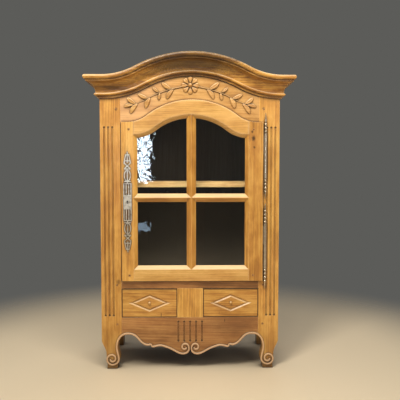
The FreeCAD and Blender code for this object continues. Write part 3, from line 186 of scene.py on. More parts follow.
def wood_grain():
    """A node group that gives the rings and the other layers of a board along Z."""
    group = bpy.data.node_groups.new("wood_grain", "ShaderNodeTree")
    group.interface.new_socket("Vector", in_out="INPUT", socket_type="NodeSocketVector")
    for name in ("Rings", *LAYERS):
        group.interface.new_socket(name, in_out="OUTPUT", socket_type="NodeSocketFloat")
    tree = Tree(group)
    place = group.nodes.new("NodeGroupInput").outputs["Vector"]
    end = group.nodes.new("NodeGroupOutput").inputs

    def layer(scale, stretch, detail, roughness, start, rise, least=0.0):
        noise = tree.noise(tree.mapped(place, start, scale=(1, 1, stretch)), scale, detail, roughness)
        return tree.step(noise, *rise, least) if rise else noise

    long_way = tree.mapped(place, scale=(1, 1, LONG_RINGS))
    warp = tree.noise(long_way, WARP_SCALE, WARP_DETAIL, output="Color")
    warp = tree.vector("SUBTRACT", warp, (0.5, 0.5, 0.5))
    axes = tree.split(tree.vector("MULTIPLY_ADD", warp, (2 * RING_WARP, 2 * RING_WARP, 0), long_way))
    squares = [tree.math("POWER", axes[i], 2.0) for i in (0, 1)]
    radius = tree.math("SQRT", tree.math("ADD", *squares))
    radius = tree.math("MULTIPLY_ADD", layer(*DRIFT_LAYER), PITCH_DRIFT, radius)
    ring = tree.math("FRACT", tree.math("DIVIDE", radius, RING_PITCH))
    late_wood = tree.math("MULTIPLY", tree.step(ring, *LATE_WOOD), tree.step(ring, *RING_END, 1.0, 0.0))
    seen = layer(*RINGS_SEEN_LAYER, least=FAINTEST_RINGS)
    tree.feed(end["Rings"], tree.math("MULTIPLY", late_wood, seen))
    for name, settings in LAYERS.items():
        tree.feed(end[name], layer(*settings))
    return group


GRAIN = wood_grain()


# Wood

# A tone's pale, middle and dark wood, how rough its surface is and how strongly its grain shows.
Tone = namedtuple("Tone", "pale middle dark rough figure")
TONES = {
    "case": Tone(linear(220, 170, 88), linear(190, 136, 60), linear(130, 84, 34), 0.32, 0.88),
    "sunny": Tone(linear(231, 183, 98), linear(203, 149, 69), linear(140, 93, 40), 0.32, 0.88),
    "frieze": Tone(linear(218, 175, 110), linear(190, 143, 79), linear(138, 95, 46), 0.34, 0.85),
    # The cornice's tone is darker than the case's, partly its own wood and partly painted shade under its
    # nose and in its cove.
    "cornice": Tone(linear(212, 160, 76), linear(165, 114, 46), linear(88, 56, 21), 0.26, 1.3),
    "dark": Tone(linear(170, 120, 68), linear(139, 94, 50), linear(94, 61, 31), 0.38, 1.0),
    "umber": Tone(linear(190, 140, 82), linear(160, 110, 60), linear(112, 72, 36), 0.36, 1.0),
    "gold": Tone(linear(216, 168, 86), linear(184, 132, 58), linear(126, 83, 33), 0.30, 1.1),
    "bright": Tone(linear(228, 184, 112), linear(204, 157, 84), linear(148, 102, 48), 0.30, 0.8),
    "inner": Tone(linear(66, 47, 30), linear(48, 33, 21), linear(30, 20, 13), 0.75, 1.0),
    "shelf": Tone(linear(216, 182, 130), linear(188, 150, 98), linear(134, 98, 58), 0.6, 1.0),
    "peg": Tone(linear(158, 110, 60), linear(124, 82, 42), linear(84, 54, 26), 0.5, 1.0),
    "raw": Tone(linear(182, 144, 98), linear(152, 114, 72), linear(108, 76, 46), 0.75, 1.0),
}
# A soot-dark brown for knots, seams and grime, also used for painted shade and painted shadows.
SOOT_AND_SHADE = linear(44, 25, 12)
INSIDE = linear(34, 25, 17)
FLUSH = linear(200, 126, 76)
# The pale of rubbed edges, also used as a painted highlight along them.
WORN_EDGE_AND_HIGHLIGHT = linear(250, 214, 166)
# The pale of wax bloom and dust on upward faces, also used as a painted sheen where overhead light would
# catch them.
BLOOM_AND_SHEEN = linear(250, 230, 192)
FLUSH_SHARE, PORE_SHARE, SEAM_SHARE, RIM_SHARE = 0.16, 0.35, 0.7, 0.8
RELIEF = {"Streaks": 0.4, "Fibres": 0.5, "Pores": -0.4}
RELIEF_STRENGTH, RELIEF_DEPTH = 0.3, 0.4 * MM
STREAK_ROUGHNESS = 0.14
WEAR_AND_HIGHLIGHT_SHARE, BLOOM_AND_SHEEN_SHARE = 0.7, 0.46
BLOOM_AND_SHEEN_TILT = (0.2, 0.75)
WAXED = 0.5

# How much each layer darkens a board, from its lightest. A figure of 1 leaves that as it is, and a lower
# one draws it towards its mean.
DARKENS = {"Rings": 0.2, "Veins": 0.24, "Streaks": 0.21, "Fibres": 0.34, "Blotches": 0.41}
LIGHTEST, MEAN_DARKNESS = -0.19, 0.4
PLANK_SPREAD = 0.35
PALE_END, MIDDLE = 0.12, 0.5

# The board's place in its log: where the first cut lies, how far the others are from it, and how they tilt.
ALONG = {"x": (0, math.radians(90), 0), "y": (math.radians(90), 0, 0), "z": (0, 0, 0)}
FIRST_CUT = (50 * MM, 35 * MM)
CUT_STEP = (23 * MM, 19 * MM, 370 * MM)
CUT_TILT = (math.radians(0.9), math.radians(1.2))
PLANK_STEP = 7.0

# Dark wax in corners, with painted shade in corners, creases and under parts: how far it reaches, how dark
# it gets, and the shares of open air where it is darkest and where it is gone.
GrimeAndShade = namedtuple("GrimeAndShade", "reach share darkest gone")
PLAIN_GRIME_AND_SHADE = GrimeAndShade(8 * MM, 0.85, 0.3, 0.88)
CARVED = GrimeAndShade(11 * MM, 0.95, 0.5, 0.97)
FLUTED = GrimeAndShade(7 * MM, 0.85, 0.5, 0.96)
BEADED = GrimeAndShade(9 * MM, 0.9, 0.3, 0.88)

# A tint by its share: whole up to one place on an axis and gone from the other on, whichever way they run.
TintBand = namedtuple("TintBand", "axis whole gone tint share")

# A knot or a dark patch on a board's front.
Mark = namedtuple("Mark", "x z half_height half_width share")
MARK_EDGE = (0.25, 1.1)
RAGGED, RAGGED_SCALE = 0.9, 240.0

ARRIS = 1.4 * MM
# How far an edge must turn, and how open it must be, to show wear and a painted highlight.
WORN_AND_LIT_ARRIS, WORN_AND_LIT_AIR = (0.86, 0.995), (0.7, 0.95)
RIM = 3 * MM
JOINT_LINE = 2.2 * MM


def marks_on(tree, place, marks):
    """How dark the marks are at each point."""
    darkest = 0.0
    ragged = tree.math("MULTIPLY_ADD", tree.noise(place, RAGGED_SCALE), RAGGED, -RAGGED / 2)
    for mark in marks:
        offset = tree.mapped(place, (-mark.x / mark.half_width, 0, -mark.z / mark.half_height),
                             scale=(1 / mark.half_width, 0, 1 / mark.half_height))
        edge = tree.math("ADD", tree.vector("LENGTH", offset), ragged)
        darkest = tree.math("MAXIMUM", darkest, tree.step(edge, *MARK_EDGE, mark.share, 0.0))
    return darkest


def rim_of(tree, place, low, high):
    """How near each point of a board's face is to the board's own rim: 0 away from it, 1 on it."""
    centre, half = (low + high) / 2, (high - low) / 2
    axes = tree.split(tree.vector("ABSOLUTE", tree.vector("SUBTRACT", place, centre)))
    near = [tree.step(axes[i], half[i] - RIM, half[i] - RIM / 4) for i in (0, 2)]
    return tree.math("MAXIMUM", *near)


def planks_of(tree, place, joints):
    """A lot from 0 to 1 for each plank of a wall, and how near each point is to a joint."""
    pitch = joints[1] - joints[0]
    turn = tree.math("DIVIDE", tree.math("SUBTRACT", tree.split(place)[0], joints[0]), pitch)
    lot = tree.add("TexWhiteNoise", noise_dimensions="1D")
    tree.feed(lot.inputs["W"], tree.math("FLOOR", turn))
    gap = tree.math("ABSOLUTE", tree.math("SUBTRACT", turn, tree.math("ROUND", turn)))
    return lot.outputs["Value"], tree.step(gap, JOINT_LINE / pitch / 3, JOINT_LINE / pitch, 1.0, 0.0)


def in_log(tree, place, axis, seed):
    """Where each point of a board lies in the log it was cut from, whose heart runs along Z."""
    cut = (FIRST_CUT[0] + CUT_STEP[0] * (seed % 5), FIRST_CUT[1] + CUT_STEP[1] * (seed % 7),
           CUT_STEP[2] * seed)
    tilt = (CUT_TILT[0] * (seed % 3 - 1), CUT_TILT[1] * (seed % 4 - 1.5), 0)
    return tree.mapped(tree.mapped(place, rotation=ALONG[axis]), cut, tilt)


def tones_by(tree, darkness, tone):
    ramp = tree.add("ValToRGB")
    ends = ramp.color_ramp.elements
    ends[0].color, ends[0].position = tone.pale, PALE_END
    ends[1].color = tone.dark
    ends.new(MIDDLE).color = tone.middle
    tree.feed(ramp.inputs[0], darkness)
    return ramp.outputs[0]


def wood(name, axis, tone_name, seed, marks=(), stains_and_shade=(), grime_and_shade=PLAIN_GRIME_AND_SHADE, arris=ARRIS, rim=None, joints=None):
    """One board's own material. seed picks which part of the log it was cut from. arris is how far its
    edges are rounded and so how wide their wear and painted highlight are, rim is the box of a board whose
    edges get a painted shadow, and joints are where the planks of a wall meet."""
    tone = TONES[tone_name]
    material, tree, shader = new_material(name)
    place = cut_from = tree.add("TexCoord").outputs["Object"]
    if joints:
        lot, seam = planks_of(tree, place, joints)
        shift = tree.feed_all(tree.add("CombineXYZ"), (0.0, lot, tree.math("MULTIPLY", lot, PLANK_STEP)))
        cut_from = tree.vector("ADD", place, shift.outputs[0])
    out = tree.feed_all(tree.add("Group", node_tree=GRAIN), [in_log(tree, cut_from, axis, seed)]).outputs

    darkness = LIGHTEST
    for layer, share in DARKENS.items():
        darkness = tree.math("MULTIPLY_ADD", out[layer], share, darkness)
    if joints:
        darkness = tree.math("MULTIPLY_ADD", tree.math("SUBTRACT", lot, 0.5), PLANK_SPREAD, darkness)
    darkness = tree.math("MULTIPLY_ADD", darkness, tone.figure, MEAN_DARKNESS * (1 - tone.figure))
    colour = tones_by(tree, darkness, tone)
    colour = tree.mix(tree.math("MULTIPLY", out["Flush"], FLUSH_SHARE), colour, FLUSH)
    colour = tree.mix(tree.math("MULTIPLY", out["Pores"], PORE_SHARE), colour, tone.dark)
    if joints:
        colour = tree.mix(tree.math("MULTIPLY", seam, SEAM_SHARE), colour, SOOT_AND_SHADE)

    geometry = tree.add("NewGeometry").outputs
    # Wax bloom and dust on upward faces, with a painted sheen as if overhead light caught them.
    if tone.rough < WAXED:
        upward = tree.split(geometry["Normal"])[2]
        colour = tree.mix(tree.step(upward, *BLOOM_AND_SHEEN_TILT, 0.0, BLOOM_AND_SHEEN_SHARE), colour, BLOOM_AND_SHEEN)
    open_air = tree.open_air(grime_and_shade.reach, 8)
    rounded = tree.add("Bevel", samples=4)
    rounded.inputs["Radius"].default_value = arris
    # Paler rubbed edges with a painted highlight along them, where the rounded normal turns from the face
    # in open air.
    facing = tree.vector("DOT_PRODUCT", rounded.outputs[0], geometry["True Normal"])
    rubbed_and_lit = tree.math("MULTIPLY", tree.step(facing, *WORN_AND_LIT_ARRIS, 1.0, 0.0),
                       tree.step(open_air, *WORN_AND_LIT_AIR, 0.0, WEAR_AND_HIGHLIGHT_SHARE))
    colour = tree.mix(rubbed_and_lit, colour, WORN_EDGE_AND_HIGHLIGHT)

    for tint_band in stains_and_shade:
        along = tree.split(place)["XYZ".index(tint_band.axis)]
        colour = tree.mix(tree.step(along, tint_band.whole, tint_band.gone, tint_band.share, 0.0), colour, tint_band.tint)
    # Knots and dark patches, with painted shade across the cornice's middle and under the lock plate.
    if marks:
        colour = tree.mix(marks_on(tree, place, marks), colour, SOOT_AND_SHADE)
    # A painted shadow round a drawer front's rim, as in the gap round it.
    if rim:
        colour = tree.mix(tree.math("MULTIPLY", rim_of(tree, place, *rim), RIM_SHARE), colour, SOOT_AND_SHADE)
    # Dark wax and painted shade in corners, creases and hollows, where there is little open air.
    dirt_and_shade = tree.step(open_air, grime_and_shade.darkest, grime_and_shade.gone, grime_and_shade.share, 0.0)
    tree.feed(shader.inputs["Base Color"], tree.mix(dirt_and_shade, colour, SOOT_AND_SHADE))
    roughness = tree.math("MULTIPLY_ADD", out["Streaks"], STREAK_ROUGHNESS, tone.rough)
    tree.feed(shader.inputs["Roughness"], roughness)

    relief = 0.0
    for layer, share in RELIEF.items():
        relief = tree.math("MULTIPLY_ADD", out[layer], share, relief)
    bump = tree.bump(relief, RELIEF_STRENGTH, RELIEF_DEPTH)
    tree.feed(bump.inputs["Normal"], rounded.outputs[0])
    tree.feed(shader.inputs["Normal"], bump.outputs[0])
    return material


# What each board is made of, and what has happened to it

# Knots and dark patches on the boards' fronts, and two of painted shade: across the middle of the cornice,
# and on the wood under the lock plate's openwork.
KNOTS_AND_SHADE = {
    "door_hinge_stile": [Mark(0.221, 0.856, 0.006, 0.005, 0.8), Mark(0.226, 0.833, 0.012, 0.008, 0.85),
                         Mark(0.229, 0.801, 0.006, 0.005, 0.8), Mark(0.227, 0.880, 0.020, 0.002, 0.6)],
    "front_post_left": [Mark(-0.262, 0.936, 0.008, 0.007, 0.5), Mark(-0.258, 0.318, 0.012, 0.010, 0.55)],
    "front_post_right": [Mark(0.262, 0.940, 0.006, 0.006, 0.5), Mark(0.270, 0.300, 0.016, 0.010, 0.5)],
    "drawer_left_front": [Mark(-0.105, 0.196, 0.012, 0.002, 0.8)],
    "drawer_right_front": [Mark(0.105, 0.204, 0.008, 0.0015, 0.5)],
    "apron": [Mark(0.125, 0.176, 0.010, 0.003, 0.8), Mark(0.150, 0.165, 0.055, 0.140, 0.3)],
    # Painted shade across the middle of the cornice, darker than its ends.
    "cornice_front": [Mark(0.0, 1.10, 0.065, 0.300, 0.75)],
}
# Painted shadow under the lock plate, which darkens its openwork.
plate_low, plate_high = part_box("escutcheon_plate")
plate_middle, plate_size = (plate_low + plate_high) / 2, plate_high - plate_low
PLATE_SHADE = (0.62, 0.8, 0.5)
KNOTS_AND_SHADE["door_lock_stile"] = [Mark(plate_middle.x, plate_middle.z, PLATE_SHADE[0] * plate_size.z,
                                 PLATE_SHADE[1] * plate_size.x, PLATE_SHADE[2])]

# Which way each board's grain runs, and its tone.
BOARDS = {
    "front_post_left": ("z", "case"), "front_post_right": ("z", "sunny"),
    "cornice_front": ("x", "cornice"), "frieze_rail": ("x", "frieze"),
    "middle_rail": ("x", "dark"), "drawer_divider": ("z", "sunny"), "apron": ("x", "umber"),
    "back_top_rail": ("x", "raw"), "back_bottom_rail": ("x", "raw"), "back_boards": ("z", "raw"),
    "top_board": ("x", "raw"), "cupboard_floor": ("x", "inner"), "shelf": ("x", "shelf"),
    "board_cleats": ("y", "inner"), "drawer_runners": ("y", "inner"),
    "frame_pegs": ("y", "peg"), "door_pegs": ("y", "peg"), "glazing_beads": ("z", "case"),
    "door_lock_stile": ("z", "sunny"), "door_hinge_stile": ("z", "gold"),
    "door_top_rail": ("x", "bright"), "door_bottom_rail": ("x", "bright"),
    "door_upright_muntin": ("z", "case"),
}
for side, _ in SIDES:
    BOARDS[f"rear_post_{side}"] = ("z", "case")
    BOARDS[f"side_top_rail_{side}"] = BOARDS[f"side_bottom_rail_{side}"] = ("y", "case")
    BOARDS[f"side_panel_{side}"] = ("z", "gold")
    BOARDS[f"cornice_return_{side}"] = ("y", "cornice")
    BOARDS[f"door_{side}_muntin"] = ("x", "case")
    BOARDS[f"drawer_{side}_front"] = ("x", "gold")
    BOARDS[f"drawer_{side}_sides"] = BOARDS[f"drawer_{side}_bottom"] = ("y", "raw")
    BOARDS[f"drawer_{side}_back"] = ("x", "raw")

MOULDING_STAIN = TintBand("Y", FRONT - 3 * MM, FRONT - 0.8 * MM, linear(224, 188, 152), 0.66)
# The lowest parts darker towards the floor, and darkest within a few centimetres of it.
FOOT_DARKENING = TintBand("Z", 0.0, 0.22, linear(92, 60, 30), 0.45)
PAD_DARKENING = TintBand("Z", 0.0, 0.05, SOOT_AND_SHADE, 0.6)
outer_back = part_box("back_boards")[1].y
under_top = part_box("top_board")[0].z
STAINS_AND_SHADE = {
    "apron": [FOOT_DARKENING, PAD_DARKENING, MOULDING_STAIN],
    "frieze_rail": [TintBand("X", -0.20, -0.02, linear(228, 182, 142), 0.35)],
    "back_boards": [TintBand("Y", outer_back - 2 * MM, outer_back - 1 * MM, INSIDE, 0.97)],
    "top_board": [TintBand("Z", under_top + 0.5 * MM, under_top + 1 * MM, INSIDE, 0.97)],
}
for side, way in SIDES:
    STAINS_AND_SHADE[f"front_post_{side}"] = STAINS_AND_SHADE["apron"]
    STAINS_AND_SHADE[f"rear_post_{side}"] = [FOOT_DARKENING, PAD_DARKENING]
    front_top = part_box(f"drawer_{side}_front")[1].z
    # A painted shadow along the top of each drawer front, as under the rail above it.
    STAINS_AND_SHADE[f"drawer_{side}_front"] = [TintBand("Z", front_top - 1 * MM, front_top - 9 * MM, SOOT_AND_SHADE, 0.6)]
    for board in ("side_panel", "side_top_rail", "side_bottom_rail"):
        low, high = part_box(f"{board}_{side}")
        inner = way * min(abs(low.x), abs(high.x))
        STAINS_AND_SHADE[f"{board}_{side}"] = [TintBand("X", inner + way * 3 * MM, inner + way * 4 * MM, INSIDE, 0.9)]

# Dark wax in each board's hollows, with painted shade beside the hinge barrels, in the lock plate's
# openwork, round the garland and in the flutes and mouldings.
GRIME_AND_SHADE = {"frieze_rail": CARVED, "front_post_left": FLUTED, "front_post_right": FLUTED, "apron": FLUTED,
         "cornice_front": BEADED, "cornice_return_left": BEADED, "cornice_return_right": BEADED,
         "door_hinge_stile": GrimeAndShade(12 * MM, 0.95, 0.3, 0.9),
         "door_lock_stile": GrimeAndShade(4.5 * MM, 1.0, 0.66, 0.99)}
ARRISES = {"door_top_rail": 9 * MM, "door_lock_stile": 2.5 * MM, "door_hinge_stile": 2.5 * MM,
           "door_bottom_rail": 2.5 * MM, "cornice_front": 2.5 * MM, "drawer_left_front": 1.8 * MM,
           "drawer_right_front": 1.8 * MM}
RIMS = {f"drawer_{side}_front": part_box(f"drawer_{side}_front") for side, _ in SIDES}


def board_joints():
    """Where each pair of back boards meets, from left to right."""
    edges = sorted({round(corner.co.x / MM, 1) for corner in NODES["back_boards"].data.vertices})
    return [(low + high) / 2 * MM for low, high in zip(edges[1:-1:2], edges[2:-1:2])]


JOINTS = {"back_boards": board_joints()}


def finish_of(node, material):
    NODES[node].data.materials.clear()
    NODES[node].data.materials.append(material)


for seed, (node, (axis, tone_name)) in enumerate(sorted(BOARDS.items())):
    finish_of(node, wood(f"wood_{node}", axis, tone_name, seed, marks=KNOTS_AND_SHADE.get(node, ()),
                         stains_and_shade=STAINS_AND_SHADE.get(node, ()), grime_and_shade=GRIME_AND_SHADE.get(node, PLAIN_GRIME_AND_SHADE),
                         arris=ARRISES.get(node, ARRIS), rim=RIMS.get(node), joints=JOINTS.get(node)))


# Steel and glass

TARNISH = linear(44, 34, 26)
TARNISH_REACH, TARNISH_SHARE, TARNISH_AIR = 6 * MM, 0.9, (0.3, 0.9)
WEAR_SCALE, WEAR_RISE, WEAR_ROUGHNESS = 90.0, (0.42, 0.72), 0.25
SCRATCH_SCALE, SCRATCH_STRETCH, SCRATCH_TURN = 900.0, 0.08, math.radians(35)
SCRATCH_STRENGTH, SCRATCH_DEPTH = 0.15, 0.2 * MM
GLASS_TINT = linear(246, 249, 245)
GLASS_IOR = 1.5
WAVE_SCALE, WAVE_STRENGTH, WAVE_DEPTH = 22.0, 0.3, 1 * MM


def steel(name, pale, dull, metal, rough):
    """Old steel: rubbed bright, with fine scratches and dark tarnish in its corners."""
    material, tree, shader = new_material(name)
    place = tree.add("TexCoord").outputs["Object"]
    wear = tree.noise(place, WEAR_SCALE, 4.0, 0.6)
    strokes = tree.mapped(place, rotation=(0, SCRATCH_TURN, 0), scale=(1, 1, SCRATCH_STRETCH))
    scratches = tree.noise(strokes, SCRATCH_SCALE, 2.0)
    tarnish = tree.step(tree.open_air(TARNISH_REACH, 6), *TARNISH_AIR, TARNISH_SHARE, 0.0)
    colour = tree.mix(tree.step(wear, *WEAR_RISE), pale, dull)
    tree.feed(shader.inputs["Base Color"], tree.mix(tarnish, colour, TARNISH))
    shader.inputs["Metallic"].default_value = metal
    tree.feed(shader.inputs["Roughness"], tree.math("MULTIPLY_ADD", wear, WEAR_ROUGHNESS, rough))
    tree.feed(shader.inputs["Normal"], tree.bump(scratches, SCRATCH_STRENGTH, SCRATCH_DEPTH).outputs[0])
    return material


def glass():
    """Old window glass, faintly wavy and a little grey. It lets the lamps light what stands behind it."""
    material, tree, shader = new_material("old_glass")
    place = tree.add("TexCoord").outputs["Object"]
    shader.inputs["Base Color"].default_value = GLASS_TINT
    shader.inputs["Transmission Weight"].default_value = 1.0
    shader.inputs["Roughness"].default_value = 0.0
    shader.inputs["IOR"].default_value = GLASS_IOR
    waves = tree.bump(tree.noise(place, WAVE_SCALE, 2.0), WAVE_STRENGTH, WAVE_DEPTH)
    tree.feed(shader.inputs["Normal"], waves.outputs[0])
    clear = tree.add("BsdfTransparent")
    clear.inputs["Color"].default_value = GLASS_TINT
    shadow = tree.add("LightPath").outputs["Is Shadow Ray"]
    set_surface(material, tree, tree.mix_shaders(shadow, shader.outputs[0], clear.outputs[0]))
    return material


PLATE_STEEL = steel("plate_steel", linear(218, 208, 191), linear(158, 147, 130), 0.72, 0.2)
HINGE_STEEL = steel("hinge_steel", linear(208, 192, 170), linear(172, 156, 134), 0.7, 0.1)
GLASS = glass()
for node in NODES:
    if node.startswith("glass_"):
        finish_of(node, GLASS)
    elif node not in BOARDS:
        finish_of(node, HINGE_STEEL if "hinge" in node else PLATE_STEEL)
for side, _ in SIDES:
    finish_of(f"drawer_{side}_knob", wood(f"wood_drawer_{side}_knob", "y", "frieze", 3))


# Loose tongues that close the joints between the back boards

TONGUE_HALF_WIDTH, TONGUE_HALF_THICKNESS = 4 * MM, 1.5 * MM
TONGUE_END_GAP, TONGUE_BEVEL = 1 * MM, 0.5 * MM


def tongues():
    low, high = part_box("back_boards")
    half = Vector((TONGUE_HALF_WIDTH, TONGUE_HALF_THICKNESS, (high.z - low.z) / 2 - TONGUE_END_GAP))
    strips = bmesh.new()
    for x in JOINTS["back_boards"]:
        made = bmesh.ops.create_cube(strips, size=2.0)["verts"]
        bmesh.ops.scale(strips, vec=half, verts=made)
        bmesh.ops.translate(strips, vec=(x, (low.y + high.y) / 2, (low.z + high.z) / 2), verts=made)
    bmesh.ops.bevel(strips, geom=strips.edges[:], offset=TONGUE_BEVEL, segments=2, affect="EDGES")
    mesh = bpy.data.meshes.new("back_tongues")
    strips.to_mesh(mesh)
    strips.free()
    thing = put("back_tongues", mesh)
    tint_band = TintBand("Y", high.y, high.y + MM, INSIDE, 0.9)
    mesh.materials.append(wood("wood_back_tongues", "z", "inner", 2, stains_and_shade=[tint_band]))
    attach(thing, "case")


tongues()


# Short pieces of moulding that close the step between each foot's arch and the apron's swag

# The right-hand step, as (out from the middle, height) in millimetres.
CUSP = ((144, 90.5), (142.3, 89.3), (140.3, 86.2), (138.6, 82.8), (136, 81.2))
CUSP_HALF_WIDTH, CUSP_PROUD, CUSP_ROUND = 3.3 * MM, 3.9 * MM, 2.5 * MM
SHOULDER = (0.62, 0.22)


def ways_across(path):
    """The unit vector across a path at each of its points."""
    across = []
    for i in range(len(path)):
        way = (path[min(i + 1, len(path) - 1)] - path[max(i - 1, 0)]).normalized()
        across.append(Vector((-way.y, way.x)))
    return across


def cusp(side, way):
    """A rounded band along the step, as deep as the apron, with its ends inside the mouldings."""
    front, back = FRONT - CUSP_PROUD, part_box("apron")[1].y - MM
    low = front + CUSP_ROUND
    shoulder = (CUSP_HALF_WIDTH * SHOULDER[0], front + CUSP_ROUND * SHOULDER[1])
    outline = ((-CUSP_HALF_WIDTH, back), (-CUSP_HALF_WIDTH, low), (-shoulder[0], shoulder[1]), (0, front),
               shoulder, (CUSP_HALF_WIDTH, low), (CUSP_HALF_WIDTH, back))
    path = [Vector((way * x, z)) * MM for x, z in CUSP]
    band = bmesh.new()
    rings = []
    for here, across in zip(path, ways_across(path)):
        places = [(here + across * off, y) for off, y in outline]
        rings.append([band.verts.new((place.x, y, place.y)) for place, y in places])
    for first, second in zip(rings, rings[1:]):
        for i in range(len(outline)):
            j = (i + 1) % len(outline)
            band.faces.new((first[i], first[j], second[j], second[i]))
    band.faces.new(rings[0])
    band.faces.new(rings[-1])
    bmesh.ops.recalc_face_normals(band, faces=band.faces)
    mesh = bpy.data.meshes.new(f"cusp_{side}")
    band.to_mesh(mesh)
    band.free()
    thing = put(f"cusp_{side}", mesh)
    mesh.materials.append(wood(f"wood_cusp_{side}", "x", "umber", 5, stains_and_shade=STAINS_AND_SHADE["apron"], grime_and_shade=FLUTED))
    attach(thing, "case")


for side, way in SIDES:
    cusp(side, way)


# The carved garland: a daisy in the middle of the frieze, with a leafy stem along the arch on each side.
# Its strips are grids of points (x, z, height above the frieze), sunk a little into the wood at their rims.

FLOWER = (1 * MM, 1020 * MM)
FLOWER_RADIUS = 33 * MM
PETALS, PETAL_WIDTH, PETAL_HEIGHT, PETAL_BLUNT = 8, 20 * MM, 7.0 * MM, 1.9
HEART_RADIUS, HEART_HEIGHT = 8.5 * MM, 9.0 * MM
HEART_RINGS, HEART_SIDES = 5, 12
SINK = 1.0 * MM
ALONG_STEPS, ACROSS_STEPS = 8, 6
VEIN_DEPTH, VEIN_WIDTH = 0.4, 0.3
# Powers: the smaller they are, the fuller a blade's outline, its dome across and its dome towards the ends.
OUTLINE_POWER, DOME_POWER, ENDS_POWER = 0.8, 0.45, 0.4
GARLAND_SEED = 4

# One side's stem and leaves, as (out from the flower's centre, height) in millimetres.
STEM = ((24, 1016), (57, 1010), (78, 1004), (98, 997), (121, 989), (142, 979), (160, 969), (180, 960),
        (204, 952))
STEM_WIDTH, STEM_HEIGHT, STEM_TAPER = 5.0 * MM, 4.5 * MM, 0.45
# Base, tip, width and how far the leaf bows to its left.
LEAVES = (
    ((64, 1006), (104, 1033), 19, 4), ((57, 1009), (85, 969), 20, -4), ((110, 994), (135, 1014), 13, 1),
    ((107, 995), (113, 966), 14, 0), ((146, 974), (188, 992), 17, 4), ((140, 979), (159, 936), 21, -4),
    ((190, 953), (226, 980), 18, 4), ((197, 951), (238, 943), 16, -3), ((184, 958), (214, 917), 20, -4),
)
LEAF_HEIGHT, LEAF_BLUNT = 7.5 * MM, 1.15


def relief(name, strips):
    """A carving made of strips."""
    mesh = bpy.data.meshes.new(name)
    points, faces = [], []
    for grid in strips:
        first, width = len(points), len(grid[0])
        points += [(x, FRONT + SINK - height, z) for line in grid for x, z, height in line]
        for i in range(len(grid) - 1):
            for j in range(width - 1):
                corner = first + i * width + j
                faces.append((corner, corner + width, corner + width + 1, corner + 1))
    mesh.from_pydata(points, [], faces)
    carving = bmesh.new()
    carving.from_mesh(mesh)
    bmesh.ops.remove_doubles(carving, verts=carving.verts, dist=0.01 * MM)
    bmesh.ops.recalc_face_normals(carving, faces=carving.faces)
    carving.to_mesh(mesh)
    carving.free()
    mesh.polygons.foreach_set("use_smooth", [True] * len(mesh.polygons))
    thing = put(name, mesh)
    smooth = thing.modifiers.new("smooth", "SUBSURF")
    smooth.levels = smooth.render_levels = 1
    return thing


def shares_across():
    """From -1 at a strip's left rim to 1 at its right."""
    return [2 * i / ACROSS_STEPS - 1 for i in range(ACROSS_STEPS + 1)]


def blade(base, tip, width, bow, height, blunt):
    """A leaf or petal: widest past its middle, bowed to one side, with a vein along it. The more blunt it
    is, the rounder its tip."""
    reach = tip - base
    side = Vector((-reach.y, reach.x)).normalized()
    grid = []
    for i in range(ALONG_STEPS + 1):
        along = i / ALONG_STEPS
        swell = math.sin(math.pi * along ** blunt) ** OUTLINE_POWER
        middle = base + reach * along + side * bow * math.sin(math.pi * along)
        line = []
        for across in shares_across():
            x, z = middle + side * (across * swell * width / 2)
            dome = (1 - across ** 2) ** DOME_POWER * swell ** ENDS_POWER
            vein = 1 - VEIN_DEPTH * math.exp(-(across / VEIN_WIDTH) ** 2)
            line.append((x, z, height * dome * vein))
        grid.append(line)
    return grid


def on_side(way, point):
    return Vector((FLOWER[0] + way * point[0] * MM, point[1] * MM))


def stem(way):
    """The stem, round on top and thinner towards its end."""
    knots = [on_side(way, point) for point in STEM]
    grid = []
    for i, (here, across) in enumerate(zip(knots, ways_across(knots))):
        taper = 1 - STEM_TAPER * i / (len(knots) - 1)
        line = []
        for share in shares_across():
            x, z = here + across * (share * STEM_WIDTH * taper / 2)
            line.append((x, z, (STEM_HEIGHT + SINK) * math.sqrt(max(1 - share ** 2, 0)) * taper))
        grid.append(line)
    return grid


def leaves(way):
    return [blade(on_side(way, base), on_side(way, tip), width * MM, -way * bow * MM,
                  LEAF_HEIGHT + SINK, LEAF_BLUNT) for base, tip, width, bow in LEAVES]


def petals():
    centre = Vector(FLOWER)
    strips = []
    for i in range(PETALS):
        turn = 2 * math.pi * i / PETALS
        ray = Vector((math.cos(turn), math.sin(turn)))
        strips.append(blade(centre + ray * HEART_RADIUS / 2, centre + ray * FLOWER_RADIUS,
                            PETAL_WIDTH, 0.0, PETAL_HEIGHT + SINK, PETAL_BLUNT))
    return strips


def heart():
    """The daisy's round centre."""
    turns = [2 * math.pi * i / HEART_SIDES for i in range(HEART_SIDES + 1)]
    grid = []
    for i in range(HEART_RINGS + 1):
        tilt = math.pi / 2 * i / HEART_RINGS
        radius, height = HEART_RADIUS * math.cos(tilt), (HEART_HEIGHT + SINK) * math.sin(tilt)
        grid.append([(FLOWER[0] + radius * math.cos(turn), FLOWER[1] + radius * math.sin(turn), height)
                     for turn in turns])
    return [grid]


def carve(name, strips, grime_and_shade):
    thing = relief(name, strips)
    thing.data.materials.append(wood(f"wood_{name}", "x", "frieze", GARLAND_SEED, grime_and_shade=grime_and_shade))
    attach(thing, "case")


for side, way in SIDES:
    carve(f"garland_{side}", [stem(way), *leaves(way)], CARVED)
carve("daisy_petals", petals(), PLAIN_GRIME_AND_SHADE)
carve("daisy_heart", heart(), PLAIN_GRIME_AND_SHADE)


# Camera, floor and light

SENSOR = 36.0
CAMERA_PLACE = (-0.0012, -1.9857, 0.7084)
CAMERA_WIDTH_ANGLE = math.radians(42.1)
CAMERA_DOWN, CAMERA_RIGHT = math.radians(2.919), math.radians(1.133)


